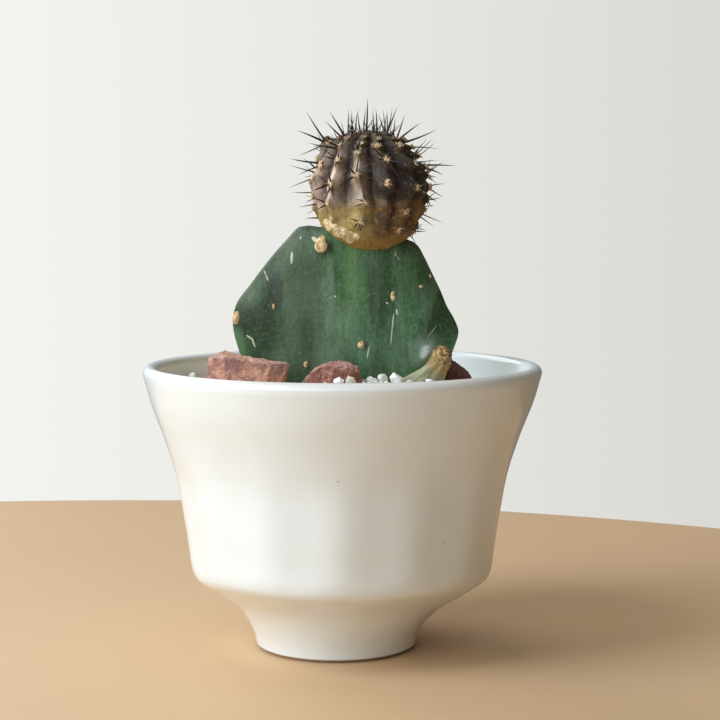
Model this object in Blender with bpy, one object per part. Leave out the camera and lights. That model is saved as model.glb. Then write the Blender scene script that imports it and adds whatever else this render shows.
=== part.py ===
"""A potted copiapoa: a small ribbed, spiny globe grafted on a flat green rootstock, planted with red
lava stones and white pumice grit in a footed, softly fluted white pot.

Metres, +Z up. The origin lies on the table below the middle of the rim. The front faces -Y.
"""

import math
import random

import bmesh
import bpy
import numpy as np
from mathutils import Matrix, Vector
from mathutils.geometry import delaunay_2d_cdt

MM = 0.001
CLEARANCE = 0.3 * MM  # between pieces that touch on the real object
WALL_GAP = 0.5 * MM  # wider, where the fill's coarse facets face the pot's finer ones
BED_GAP = 0.38 * MM  # round the pad and the stones where they stand in the fill

# Pot
RIM_RADIUS = 55.0 * MM
RIM_HEIGHT = 78.6 * MM
RIM_TILT = 0.8 * MM  # the hand-cut rim stands this much higher at the back
RIM_TILT_START = 45.0 * MM
LIP_RADIUS = 2.0 * MM
FOOT_SHIFT = -1.75 * MM  # the foot sits a little left of the rim
BODY_SHIFT = -0.2 * MM
FOOT_SHIFT_HEIGHTS = (4.0 * MM, 16.0 * MM)
BODY_SHIFT_HEIGHTS = (62.0 * MM, 74.0 * MM)
FOOT_RING_WIDTH = 3.4 * MM
FOOT_RECESS = 1.5 * MM
FOOT_RECESS_SLOPE = 0.8 * MM
FLUTES = 14
FLUTE_DEPTH = 0.5 * MM
FLUTE_STARTS = (18.0 * MM, 27.0 * MM)
FLUTE_ENDS = (44.0 * MM, 62.0 * MM)
POT_SIDES = 4 * FLUTES

# Fill
SOIL_TOP = 64.8 * MM
SOIL_SIDES = 32
GRIT_BASE = SOIL_TOP + CLEARANCE
GRIT_SIDES = 48
GRIT_EDGE_HEIGHT = 70.2 * MM
GRIT_MOUND = 2.8 * MM
GRIT_MOUND_REACH = 48.0 * MM
# (x, y, half width, half depth, height) of the places where the grit is banked up
GRIT_HEAPS = [(9.0, -14.0, 15.0, 7.0, 2.3), (-1.0, -23.0, 8.0, 5.0, 3.0), (-41.0, 17.0, 8.0, 8.0, 2.4)]
GRAIN_SPACING = 3.0 * MM
GRAIN_RELIEF = 1.5 * MM

# Rootstock
PAD_Y = 1.0 * MM
PAD_MIDDLE_X = 4.0 * MM
PAD_TOP = 114.5 * MM
PAD_TOP_SLOPE = -0.134  # the graft cut falls to the right
PAD_SLOPE_HEIGHTS = (92.0 * MM, 112.0 * MM)
PAD_ROUNDING = 2.6  # how full its slices are: 2 is an ellipse
PAD_CREST_X = 2.0 * MM
PAD_CREST = 1.4 * MM
PAD_CREST_REACH = 28.0 * MM
PAD_RIPPLE = 0.35 * MM
PAD_RIPPLE_X = -3.0 * MM
PAD_RIPPLE_LENGTH = 11.5 * MM
PAD_SIDES = 36

# Scion
GLOBE_CENTRE = Vector((7.4 * MM, -0.5 * MM))
GLOBE_BASE = 109.5 * MM
GLOBE_TURN = math.radians(-9)  # the first rib stands a little left of the front
RIBS = 13
RIB_DEPTH = 1.9 * MM
RIB_STARTS = (1.5 * MM, 9.0 * MM)  # distances from the crown over which the ribs rise
RIB_ENDS = (24.0 * MM, 38.0 * MM)  # and over which they flatten towards the base
RIB_FLATTENING = 0.75
TUBERCLE_HEIGHT = 0.55 * MM
BARE_BASE = 4.5 * MM  # the lowest part of each rib carries no areole
LONGEST_SPINE = 11.0 * MM
SHORTEST_SPINE = 5.0 * MM
SPINE_FADE = (10.0 * MM, 34.0 * MM)  # distances from the crown over which the spines shorten
SPINE_RADIUS = 0.30 * MM
SPINE_ROOT = 0.8 * MM
SPINE_SPREAD = 0.5 * MM
RADIAL_SPINES = 3
RADIAL_SHARE = 0.72  # length of a radial spine against the central one
AREOLE_MARGIN = 1.2 * MM  # no areole stands closer to the pad than this
SPINE_MARGIN = 0.7 * MM  # and no spine passes closer

# Stones
STONE_LUMP = 1.12  # the uncut lump against its half sizes
STONE_WELD = 0.03  # corners closer than this, against the half sizes, are one

RANDOM_SEED = 11


def clear_scene():
    for obj in list(bpy.data.objects):
        bpy.data.objects.remove(obj)


def surface_finish(name, colour, roughness):
    finish = bpy.data.materials.new(name)
    finish.use_nodes = True
    shader = finish.node_tree.nodes["Principled BSDF"]
    shader.inputs["Base Color"].default_value = (*colour, 1.0)
    shader.inputs["Roughness"].default_value = roughness
    shader.inputs["Metallic"].default_value = 0.0
    return finish


def solid_object(name, bm, finish, smooth_angle=math.radians(40)):
    """Closes the bmesh into a named object with outward faces, shaded smooth below smooth_angle."""
    bmesh.ops.recalc_face_normals(bm, faces=bm.faces)
    mesh = bpy.data.meshes.new(name)
    bm.to_mesh(mesh)
    bm.free()
    mesh.shade_smooth()
    mesh.set_sharp_from_angle(angle=smooth_angle)
    if finish:
        mesh.materials.append(finish)
    obj = bpy.data.objects.new(name, mesh)
    bpy.context.scene.collection.objects.link(obj)
    return obj


def smooth_step(low, high, value):
    share = min(1.0, max(0.0, (value - low) / (high - low)))
    return share * share * (3 - 2 * share)


def curve_value(points, place):
    """Reads a smooth curve through (place, value) points, level at both ends and monotone between."""
    places = [p for p, _ in points]
    if place <= places[0]:
        return points[0][1]
    if place >= places[-1]:
        return points[-1][1]
    last = len(points) - 1
    span = next(i for i in range(last) if place <= places[i + 1])

    def slope(i):
        if i in (0, last):
            j = min(i, last - 1)
            return (points[j + 1][1] - points[j][1]) / (places[j + 1] - places[j])
        before = (points[i][1] - points[i - 1][1]) / (places[i] - places[i - 1])
        after = (points[i + 1][1] - points[i][1]) / (places[i + 1] - places[i])
        return 0.0 if before * after <= 0 else 2 * before * after / (before + after)

    width = places[span + 1] - places[span]
    t = (place - places[span]) / width
    return (
        (2 * t**3 - 3 * t**2 + 1) * points[span][1]
        + (t**3 - 2 * t**2 + t) * width * slope(span)
        + (3 * t**2 - 2 * t**3) * points[span + 1][1]
        + (t**3 - t**2) * width * slope(span + 1)
    )


def loft(bm, rings):
    """Joins rings of equally many points with quads. The first and last rings get a fan to their middle."""
    rows = [[bm.verts.new(point) for point in ring] for ring in rings]
    count = len(rows[0])
    for low, high in zip(rows, rows[1:]):
        for i in range(count):
            j = (i + 1) % count
            bm.faces.new((low[i], low[j], high[j], high[i]))
    for row in (rows[0], rows[-1]):
        middle = bm.verts.new(sum((v.co for v in row), Vector()) / count)
        for i in range(count):
            bm.faces.new((row[i], row[(i + 1) % count], middle))


def boolean(obj, operation, other, solver="EXACT"):
    """Applies a Boolean of obj with an object or a collection of objects."""
    modifier = obj.modifiers.new(operation, "BOOLEAN")
    modifier.operation = operation
    modifier.solver = solver
    if isinstance(other, bpy.types.Collection):
        modifier.operand_type = "COLLECTION"
        modifier.collection = other
    else:
        modifier.object = other
    graph = bpy.context.evaluated_depsgraph_get()
    mesh = bpy.data.meshes.new_from_object(obj.evaluated_get(graph))
    obj.modifiers.clear()
    obj.data = mesh


def fuse(obj, pieces, solver="EXACT"):
    """Unites obj with loose pieces that reach into it, then removes them."""
    group = bpy.data.collections.new(obj.name + "_pieces")
    for piece in pieces:
        bpy.context.scene.collection.objects.unlink(piece)
        group.objects.link(piece)
    bpy.context.scene.collection.children.link(group)
    boolean(obj, "UNION", group, solver)
    for piece in pieces:
        bpy.data.objects.remove(piece)
    bpy.data.collections.remove(group)


def keep_largest_body(obj):
    """Drops loose scraps that a cut has left."""
    bm = bmesh.new()
    bm.from_mesh(obj.data)
    bm.verts.ensure_lookup_table()
    unseen = set(bm.verts)
    bodies = []
    while unseen:
        front = [unseen.pop()]
        body = set(front)
        while front:
            vert = front.pop()
            for edge in vert.link_edges:
                other = edge.other_vert(vert)
                if other in unseen:
                    unseen.discard(other)
                    body.add(other)
                    front.append(other)
        bodies.append(body)
    bodies.sort(key=len)
    for body in bodies[:-1]:
        bmesh.ops.delete(bm, geom=list(body), context="VERTS")
    bm.to_mesh(obj.data)
    bm.free()


def cut_bed(obj, cutters):
    """Cuts the plain beds in which the plant and the stones stand."""
    for cutter in cutters:
        boolean(obj, "DIFFERENCE", cutter)
    keep_largest_body(obj)


# The pot: a thrown bowl on a foot, with soft vertical flutes that fade out below the flared rim.

# (radius, height) up the outside, from the foot's edge to just under the lip
POT_OUTSIDE = [
    (21.2, 0.0), (22.4, 0.9), (22.8, 3.0), (24.1, 6.0), (26.3, 9.2), (29.6, 12.4), (33.5, 15.0),
    (37.8, 17.8), (40.9, 20.2), (41.9, 23.0), (42.9, 30.0), (44.3, 39.0), (46.0, 48.5), (49.0, 58.5),
    (52.9, 69.0), (54.3, 74.0),
]
# (radius, height) down the inside, from below the lip to the floor
POT_INSIDE = [
    (50.8, 72.0), (48.9, 66.0), (45.4, 57.0), (41.4, 42.0), (39.2, 27.0), (34.6, 20.0), (26.0, 15.2),
]


def pot_point(radius, height, side, fluted):
    """A point of the pot's wall. Side counts POT_SIDES steps round it, from the front."""
    turn = 2 * math.pi * side / POT_SIDES
    if fluted:
        window = smooth_step(*FLUTE_STARTS, height) * (1 - smooth_step(*FLUTE_ENDS, height))
        radius -= FLUTE_DEPTH * window * (0.5 - 0.5 * math.cos(FLUTES * turn))
    x, y = radius * math.sin(turn), -radius * math.cos(turn)
    tilted = height + RIM_TILT * (y / RIM_RADIUS) * smooth_step(RIM_TILT_START, RIM_HEIGHT, height)
    shift = 0.0
    if fluted:
        shift = FOOT_SHIFT + (BODY_SHIFT - FOOT_SHIFT) * smooth_step(*FOOT_SHIFT_HEIGHTS, height)
        shift *= 1 - smooth_step(*BODY_SHIFT_HEIGHTS, height)
    return Vector((x + shift, y, tilted))


def lip_profile():
    """The rounded lip, from the outside over the top to the inside."""
    middle = RIM_RADIUS - LIP_RADIUS
    base = RIM_HEIGHT - LIP_RADIUS
    for degrees in (0, 45, 90, 135, 180):
        angle = math.radians(degrees)
        yield middle + LIP_RADIUS * math.cos(angle), base + LIP_RADIUS * math.sin(angle)


def build_pot(finish):
    foot_inner = POT_OUTSIDE[0][0] * MM - FOOT_RING_WIDTH
    outside = [(foot_inner - FOOT_RECESS_SLOPE, FOOT_RECESS), (foot_inner, 0.0)]
    outside += [(radius * MM, height * MM) for radius, height in POT_OUTSIDE]
    profile = [(radius, height, True) for radius, height in outside]
    profile += [(radius, height, False) for radius, height in lip_profile()]
    profile += [(radius * MM, height * MM, False) for radius, height in POT_INSIDE]
    bm = bmesh.new()
    loft(
        bm,
        [
            [pot_point(radius, height, side, fluted) for side in range(POT_SIDES)]
            for radius, height, fluted in profile
        ],
    )
    return solid_object("pot", bm, finish)


def bowl_radius(height):
    """The radius of the pot's hollow at a height."""
    radii, heights = zip(*reversed(POT_INSIDE))
    return float(np.interp(height / MM, heights, radii)) * MM


# The rootstock: one flat cactus joint whose lower third stands in the soil.

# (height, left edge, right edge, half thickness) of its level slices; the top ones tilt with the cut
PAD_SLICES = [
    (45.0, -8.0, 8.5, 3.2), (47.0, -13.0, 13.0, 5.4), (56.0, -20.0, 19.0, 7.4),
    (68.0, -24.6, 24.8, 8.2), (76.0, -26.7, 28.2, 8.3), (82.5, -28.9, 30.8, 8.2),
    (87.5, -30.2, 32.2, 8.0), (90.5, -30.5, 31.2, 7.8), (94.5, -29.6, 29.0, 7.5),
    (100.0, -24.9, 27.1, 7.0), (107.0, -18.5, 24.3, 6.2), (111.0, -14.9, 22.4, 5.7),
    (113.3, -13.2, 20.9, 5.2), (114.5, -11.4, 18.8, 4.4),
]
# (x, height, size, front or back) of the corky areoles, read across the flat faces
PAD_AREOLES = [
    (-6.2, 111.6, 1.9, -1), (5.2, 84.3, 1.0, -1), (-9.9, 78.9, 1.0, -1), (-29.0, 91.2, 1.6, -1),
    (-14.0, 104.0, 1.4, 1), (14.0, 106.0, 1.5, 1), (0.5, 93.0, 1.4, 1), (-19.0, 86.0, 1.3, 1),
    (18.0, 85.5, 1.4, 1),
]
STUB_START = Vector((17.3, -5.4, 71.0)) * MM
STUB_KNOB = Vector((27.0, -6.6, 80.6)) * MM
STUB_RADII = (4.8 * MM, 2.6 * MM)
KNOB_SIZE = (2.8 * MM, 2.6 * MM, 3.3 * MM)


def pad_slice_value(column, height):
    return curve_value([(row[0] * MM, row[column] * MM) for row in PAD_SLICES], height)


def pad_face(x, height):
    """How far the pad's faces stand from its middle plane at a level slice."""
    left, right = pad_slice_value(1, height), pad_slice_value(2, height)
    share = (2 * x - left - right) / (right - left)
    fullness = max(0.0, 1 - abs(share) ** PAD_ROUNDING) ** 0.5
    crest = PAD_CREST * max(0.0, 1 - abs(x - PAD_CREST_X) / PAD_CREST_REACH)
    ripple = PAD_RIPPLE * math.cos(2 * math.pi * (x - PAD_RIPPLE_X) / PAD_RIPPLE_LENGTH)
    return fullness * (pad_slice_value(3, height) + crest + ripple)


def pad_slope(height):
    return PAD_TOP_SLOPE * smooth_step(*PAD_SLOPE_HEIGHTS, height)


def pad_ring(height, grow):
    left, right = pad_slice_value(1, height), pad_slice_value(2, height)
    ring = []
    for i in range(PAD_SIDES):
        turn = 2 * math.pi * i / PAD_SIDES
        share = math.copysign(abs(math.cos(turn)) ** 0.85, math.cos(turn))  # points gather at the edges
        x = (left + right) / 2 + share * (right - left) / 2
        y = math.copysign(pad_face(x, height), math.sin(turn)) if i % (PAD_SIDES // 2) else 0.0
        outward = Vector((math.cos(turn), math.sin(turn))) * grow
        ring.append(
            Vector(
                (
                    x + outward.x,
                    PAD_Y + y + outward.y,
                    height + pad_slope(height) * (x - PAD_MIDDLE_X),
                )
            )
        )
    return ring


def ball(centre, size, detail=1):
    """A faceted ball as a loose object. Size is its three half axes."""
    bm = bmesh.new()
    bmesh.ops.create_icosphere(bm, subdivisions=detail, radius=1.0)
    bmesh.ops.transform(bm, matrix=Matrix.Translation(centre) @ Matrix.Diagonal((*size, 1)), verts=bm.verts)
    return solid_object("piece", bm, None)


def tapered_rod(start, end, radii, sides):
    """A straight rod between two points as a loose object."""
    along = end - start
    bm = bmesh.new()
    bmesh.ops.create_cone(
        bm, cap_ends=True, cap_tris=True, segments=sides, radius1=radii[0], radius2=radii[1],
        depth=along.length,
    )
    turn = along.to_track_quat("Z", "Y").to_matrix().to_4x4()
    bmesh.ops.transform(bm, matrix=Matrix.Translation((start + end) / 2) @ turn, verts=bm.verts)
    return solid_object("piece", bm, None)


def pad_stub(grow):
    """The corky stump of an old side joint, low on the right: a ridged neck with a knob."""
    neck = tapered_rod(
        STUB_START, STUB_KNOB, (STUB_RADII[0] + grow, STUB_RADII[1] + grow), sides=10
    )
    knob = ball(STUB_KNOB, [half + grow for half in KNOB_SIZE], detail=2)
    return [neck, knob]


def pad_body(name, grow, finish):
    """The pad with its stub, grown outwards for use as a cutter."""
    rings = [pad_ring(row[0] * MM, grow) for row in PAD_SLICES]
    if grow:
        for point in rings[0]:
            point.z -= grow
        for point in rings[-1]:
            point.z += grow
    bm = bmesh.new()
    loft(bm, rings)
    pad = solid_object(name, bm, finish)
    fuse(pad, pad_stub(grow))
    return pad


def pad_areole_centre(x, height, face):
    level = height - pad_slope(height) * (x - PAD_MIDDLE_X)
    return Vector((x, PAD_Y + face * pad_face(x, level), height))


def build_pad(finish):
    pad = pad_body("rootstock_pad", 0.0, finish)
    bumps = []
    for x, height, size, face in PAD_AREOLES:
        centre = pad_areole_centre(x * MM, height * MM, face)
        bumps.append(ball(centre, (size * 0.8 * MM, size * 0.8 * MM, size * MM)))
    fuse(pad, bumps)
    return pad


# The scion: a globe with ribs broken into tubercles, an areole on each, and spines from each areole.

# (height above its base, radius) of the globe over its ribs
GLOBE_PROFILE = [
    (0.0, 4.6), (0.9, 6.6), (1.7, 8.0), (2.9, 9.7), (4.3, 11.3), (5.7, 12.5), (7.1, 13.4), (10.0, 14.4),
    (14.0, 15.7), (17.7, 16.2), (22.0, 15.4), (26.0, 13.6), (29.1, 11.2), (31.3, 8.0), (32.5, 4.6), (32.7, 2.0),
]
GLOBE_ROWS = 22
GLOBE_SIDES = 4 * RIBS


def globe_curve():
    """Points down the globe's outline from the crown to the base, as (radius, height, way from the crown)."""
    outline = [Vector((r * MM, GLOBE_BASE + h * MM)) for h, r in reversed(GLOBE_PROFILE)]
    way, points = 0.0, [(outline[0].x, outline[0].y, 0.0)]
    for a, b in zip(outline, outline[1:]):
        way += (b - a).length
        points.append((b.x, b.y, way))
    return points


GLOBE_CURVE = globe_curve()
GLOBE_WAY = GLOBE_CURVE[-1][2]


def globe_outline(way):
    radius = curve_value([(w, r) for r, _, w in GLOBE_CURVE], way)
    height = curve_value([(w, -z) for _, z, w in GLOBE_CURVE], way)
    return radius, -height


def areole_way(step):
    """Distance of an areole from the crown, counted in steps down its rib; they stand closer at the crown."""
    return (0.6 + 3.6 * step + 0.45 * step * step) * MM


def rib_phase(rib):
    """Neighbouring ribs carry their areoles in a spiral that closes after a full round."""
    return (5 * rib / RIBS) % 1.0


def globe_point(rib, way):
    """A point of the skin. Rib is a running number: whole on a crest and half in a groove."""
    radius, height = globe_outline(way)
    across = abs((rib + 0.5) % 1.0 - 0.5) * 2
    strength = smooth_step(*RIB_STARTS, way) * (1 - RIB_FLATTENING * smooth_step(*RIB_ENDS, way))
    radius -= RIB_DEPTH * strength * across**1.5
    nearest = round(rib) % RIBS
    step = 0.0
    while areole_way(step + 0.05) < way:
        step += 0.05
    wave = math.cos(2 * math.pi * (step - rib_phase(nearest)))
    radius += TUBERCLE_HEIGHT * strength * wave * (1 - across**2)
    turn = GLOBE_TURN + 2 * math.pi * rib / RIBS
    x, y = radius * math.sin(turn), -radius * math.cos(turn)
    return Vector((GLOBE_CENTRE.x + x, GLOBE_CENTRE.y + y, height))


def areoles():
    """Yields each areole's place, the outward normal there, the way up its rib and its way from the crown."""
    for rib in range(RIBS):
        step = rib_phase(rib)
        while areole_way(step) < GLOBE_WAY - BARE_BASE:
            way = areole_way(step)
            place = globe_point(rib, way)
            up = (globe_point(rib, way - 0.8 * MM) - globe_point(rib, way + 0.8 * MM)).normalized()
            side = (globe_point(rib + 0.1, way) - globe_point(rib - 0.1, way)).normalized()
            yield place, side.cross(up).normalized(), up, way
            step += 1.0


def inside_pad(point, margin):
    level = point.z - pad_slope(point.z) * (point.x - PAD_MIDDLE_X)
    if level > PAD_TOP + margin:
        return False
    level = min(level, PAD_TOP)
    left, right = pad_slice_value(1, level), pad_slice_value(2, level)
    if not left - margin < point.x < right + margin:
        return False
    return abs(point.y - PAD_Y) < pad_face(min(right, max(left, point.x)), level) + margin


def spine_directions(normal, up, draw):
    """One central spine that leans up, and radial ones spread round it, each with its offset and length."""
    side = normal.cross(up)
    yield (normal + 0.35 * up).normalized(), Vector(), 1.0
    start = draw.uniform(0, 2 * math.pi)
    for i in range(RADIAL_SPINES):
        turn = start + 2 * math.pi * i / RADIAL_SPINES
        spread = math.cos(turn) * side + math.sin(turn) * up
        yield (0.62 * normal + 0.78 * spread).normalized(), SPINE_SPREAD * spread, RADIAL_SHARE


def clear_of_pad(place, direction, length):
    return not any(inside_pad(place + direction * length * part, SPINE_MARGIN) for part in (0.3, 0.65, 1.0))


def build_scion(finish, pad_cutter):
    bm = bmesh.new()
    rows = [GLOBE_WAY * row / (GLOBE_ROWS - 1) for row in range(GLOBE_ROWS)]
    loft(
        bm,
        [[globe_point(RIBS * side / GLOBE_SIDES, way) for side in range(GLOBE_SIDES)] for way in rows],
    )
    scion = solid_object("copiapoa_scion", bm, finish)
    cut_bed(scion, [pad_cutter])
    draw = random.Random(RANDOM_SEED)
    pieces = []
    for place, normal, up, way in areoles():
        if inside_pad(place, AREOLE_MARGIN):
            continue
        reach = LONGEST_SPINE + (SHORTEST_SPINE - LONGEST_SPINE) * smooth_step(*SPINE_FADE, way)
        for direction, offset, share in spine_directions(normal, up, draw):
            length = reach * share * draw.uniform(0.75, 1.0)
            start = place - normal * SPINE_ROOT + offset
            if not clear_of_pad(start, direction, length):
                continue
            tip = start + direction * (length + SPINE_ROOT)
            pieces.append(tapered_rod(start, tip, (SPINE_RADIUS, 0.0), sides=3))
    fuse(scion, pieces, "MANIFOLD")  # EXACT leaves open edges at this many thin spines
    return scion


# The fill: soil up to below the rim, and a mound of pumice grit with lava stones bedded in it.


def build_soil(finish):
    heights = [height * MM for _, height in reversed(POT_INSIDE) if height * MM < SOIL_TOP]
    rings = []
    for height in [*heights, SOIL_TOP]:
        radius = bowl_radius(height) - WALL_GAP
        lift = CLEARANCE if height < SOIL_TOP else 0.0
        turns = [2 * math.pi * side / SOIL_SIDES for side in range(SOIL_SIDES)]
        rings.append([Vector((radius * math.cos(t), radius * math.sin(t), height + lift)) for t in turns])
    bm = bmesh.new()
    loft(bm, rings)
    return solid_object("potting_soil", bm, finish)


def mound_height(x, y):
    """The grit stands highest round the plant, falls towards the wall and is banked up in a few heaps."""
    away = math.hypot(x, y) / GRIT_MOUND_REACH
    height = GRIT_EDGE_HEIGHT + GRIT_MOUND * (1 - smooth_step(0.25, 1.0, away))
    for heap_x, heap_y, width, depth, rise in GRIT_HEAPS:
        off = ((x / MM - heap_x) / width) ** 2 + ((y / MM - heap_y) / depth) ** 2
        height += rise * MM * math.exp(-off)
    return height


def grit_relief():
    """Plan points of the grit surface with their height over the mound: the edge first, then three raised
    ones for the top of each grain and low ones for the valleys between grains."""
    draw = random.Random(RANDOM_SEED)
    reach = bowl_radius(GRIT_EDGE_HEIGHT) - WALL_GAP
    points = []
    for side in range(GRIT_SIDES):
        turn = 2 * math.pi * side / GRIT_SIDES
        points.append((Vector((math.cos(turn), math.sin(turn))) * reach, -GRAIN_RELIEF / 2))
    row_step = GRAIN_SPACING * math.sqrt(3) / 2
    rows = int(reach / row_step)
    columns = int(reach / GRAIN_SPACING) + 1
    for row in range(-rows, rows + 1):
        for column in range(-columns, columns + 1):
            middle = Vector(((column + 0.5 * (row % 2)) * GRAIN_SPACING, row * row_step))
            if middle.length < reach - 0.45 * GRAIN_SPACING:
                start = draw.uniform(0, 2)
                stand = draw.uniform(-0.1, 0.4)
                for third in range(3):
                    turn = start + 2 * math.pi * third / 3
                    size = GRAIN_SPACING * draw.uniform(0.20, 0.30)
                    corner = middle + Vector((math.cos(turn), math.sin(turn))) * size
                    points.append((corner, GRAIN_RELIEF * (stand + draw.uniform(0.0, 0.2))))
            for valley in (Vector((0, 1)), Vector((0, -1))):
                corner = middle + valley * GRAIN_SPACING / math.sqrt(3)
                if corner.length < reach - 0.35 * GRAIN_SPACING:
                    shift = Vector((draw.uniform(-0.15, 0.15), draw.uniform(-0.15, 0.15))) * MM
                    points.append((corner + shift, -GRAIN_RELIEF / 2))
    return points


def build_grit(finish):
    """A layer with a relief of grains on top, a wall that follows the bowl and a flat underside."""
    points = grit_relief()
    rim = [(side, (side + 1) % GRIT_SIDES) for side in range(GRIT_SIDES)]
    plan = [point / MM for point, _ in points]
    places, _, faces, sources, _, _ = delaunay_2d_cdt(plan, rim, [], 1, 1e-4)
    bm = bmesh.new()
    top = []
    for place, source in zip(places, sources):
        x, y = place * MM
        top.append(bm.verts.new((x, y, mound_height(x, y) + points[source[0]][1])))
    for face in faces:
        bm.faces.new([top[i] for i in face])
    shrink = (bowl_radius(GRIT_BASE) - WALL_GAP) / (bowl_radius(GRIT_EDGE_HEIGHT) - WALL_GAP)
    rank = {source[0]: i for i, source in enumerate(sources)}
    edge = [top[rank[side]] for side in range(GRIT_SIDES)]
    foot = [bm.verts.new((v.co.x * shrink, v.co.y * shrink, GRIT_BASE)) for v in edge]
    middle = bm.verts.new((0, 0, GRIT_BASE))
    for side in range(GRIT_SIDES):
        after = (side + 1) % GRIT_SIDES
        bm.faces.new((edge[side], edge[after], foot[after], foot[side]))
        bm.faces.new((foot[side], foot[after], middle))
    return solid_object("pumice_grit", bm, finish, smooth_angle=math.radians(25))


# (name, middle, half sizes, turn about Z in degrees, cutting planes as normal and share of the half size)
STONES = [
    (
        "lava_stone_left", (-26.0, -19.5, 75.2), (11.6, 6.4, 8.2), 0,
        [
            ((0.02, -0.1, 1.0), 0.80), ((0.18, 0.0, 1.0), 0.80), ((-1.0, 0.0, 0.12), 0.88),
            ((-0.7, 0.1, 1.0), 1.02), ((1.0, -0.1, -0.25), 0.86), ((0.1, -1.0, 0.35), 0.84),
            ((-0.8, -0.9, 0.2), 0.92), ((0.8, -0.9, 0.1), 0.94), ((0.2, 1.0, 0.3), 0.84),
            ((-0.8, 0.8, 0.1), 0.94), ((0.7, 0.8, 0.2), 0.95), ((-0.6, -0.5, -0.9), 0.96),
            ((0.5, 0.4, -1.0), 0.92), ((0.0, 0.0, -1.0), 0.84),
        ],
    ),
    (
        "lava_stone_middle", (-2.6, -17.2, 74.6), (8.8, 4.6, 6.6), 0,
        [
            ((0.12, -0.1, 1.0), 0.88), ((-0.75, 0.0, 1.0), 0.76), ((-1.0, 0.0, 0.25), 0.94),
            ((0.8, 0.0, 1.0), 0.98), ((1.0, 0.0, 0.05), 0.90), ((0.1, -1.0, 0.5), 0.86),
            ((-0.8, -0.9, 0.0), 0.92), ((0.8, -0.9, -0.1), 0.94), ((0.2, 1.0, 0.4), 0.84),
            ((-0.7, 0.8, 0.1), 0.92), ((0.8, 0.8, 0.0), 0.94), ((0.0, 0.0, -1.0), 0.90),
        ],
    ),
    (
        "lava_stone_right", (29.4, 11.6, 73.0), (6.9, 6.0, 6.2), -10,
        [
            ((0.75, -0.2, 1.0), 0.76), ((-0.4, -0.3, 1.0), 0.80), ((0.1, -1.0, 0.4), 0.88),
            ((1.0, -0.7, 0.0), 0.90), ((-1.0, -0.5, 0.1), 0.90), ((0.2, 1.0, 0.6), 0.86),
            ((0.9, 0.8, 0.0), 0.92), ((-0.8, 0.8, 0.1), 0.92), ((0.2, 0.2, -1.0), 0.90),
        ],
    ),
]


def stone_body(name, middle, half, turn, planes, grow, finish):
    """A crushed stone: a rounded lump with flat faces struck off it."""
    bm = bmesh.new()
    bmesh.ops.create_icosphere(bm, subdivisions=2, radius=STONE_LUMP)
    for normal, share in planes:
        direction = Vector(normal).normalized()
        cut = bmesh.ops.bisect_plane(
            bm, geom=bm.verts[:] + bm.edges[:] + bm.faces[:], plane_co=direction * share,
            plane_no=direction, clear_outer=True,
        )
        edges = [item for item in cut["geom_cut"] if isinstance(item, bmesh.types.BMEdge)]
        bmesh.ops.contextual_create(bm, geom=edges)
    bmesh.ops.remove_doubles(bm, verts=bm.verts, dist=STONE_WELD)
    sizes = [size * MM + grow for size in half]
    place = (
        Matrix.Translation(Vector(middle) * MM)
        @ Matrix.Rotation(math.radians(turn), 4, "Z")
        @ Matrix.Diagonal((*sizes, 1))
    )
    bmesh.ops.transform(bm, matrix=place, verts=bm.verts)
    bmesh.ops.triangulate(bm, faces=bm.faces)
    return solid_object(name, bm, finish, smooth_angle=math.radians(20))


def build_stones(finish):
    return [stone_body(*stone, 0.0, finish) for stone in STONES]


def main():
    clear_scene()
    glaze = surface_finish("white_glaze", (0.83, 0.82, 0.78), 0.22)
    soil_finish = surface_finish("dark_soil", (0.08, 0.055, 0.04), 0.95)
    pumice = surface_finish("white_pumice", (0.78, 0.75, 0.68), 0.9)
    lava = surface_finish("red_lava", (0.27, 0.11, 0.075), 0.9)
    stock_skin = surface_finish("rootstock_green", (0.10, 0.19, 0.095), 0.5)
    scion_skin = surface_finish("scion_brown", (0.13, 0.085, 0.055), 0.6)

    build_pot(glaze)
    build_pad(stock_skin)
    build_stones(lava)
    pad_cutter = pad_body("pad_cutter", BED_GAP, None)
    build_scion(scion_skin, pad_cutter)
    soil = build_soil(soil_finish)
    cut_bed(soil, [pad_cutter])
    grit = build_grit(pumice)
    stone_cutters = [stone_body(name + "_cutter", *rest, BED_GAP, None) for name, *rest in STONES]
    cut_bed(grit, [pad_cutter, *stone_cutters])
    for cutter in [pad_cutter, *stone_cutters]:
        bpy.data.objects.remove(cutter)


main()
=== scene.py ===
# %% [markdown]
# # A potted copiapoa
# A small globe cactus sits grafted on a flat green cactus joint, in a white glazed pot with grit and
# three lava stones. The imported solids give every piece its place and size. This script puts a finer
# skin over each of them, piece by piece, and then lights and frames the result.

# %% Load the solids and the tools
import math
import random

import bpy
import numpy as np
from mathutils import Matrix, Vector, noise


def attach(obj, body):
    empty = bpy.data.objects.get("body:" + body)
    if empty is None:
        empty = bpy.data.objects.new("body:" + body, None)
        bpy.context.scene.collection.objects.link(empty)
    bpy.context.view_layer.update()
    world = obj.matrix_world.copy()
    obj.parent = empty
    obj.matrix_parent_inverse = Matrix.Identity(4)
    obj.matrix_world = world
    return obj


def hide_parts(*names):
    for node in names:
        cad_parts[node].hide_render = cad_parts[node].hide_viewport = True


MM = 0.001
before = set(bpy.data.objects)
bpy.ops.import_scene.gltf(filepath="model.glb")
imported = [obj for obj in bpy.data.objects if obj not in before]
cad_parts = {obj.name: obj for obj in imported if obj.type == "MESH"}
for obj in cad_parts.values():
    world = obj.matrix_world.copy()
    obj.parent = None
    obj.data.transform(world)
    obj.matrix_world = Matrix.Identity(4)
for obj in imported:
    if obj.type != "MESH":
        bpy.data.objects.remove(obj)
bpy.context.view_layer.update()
print("solids:", sorted(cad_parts))

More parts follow.
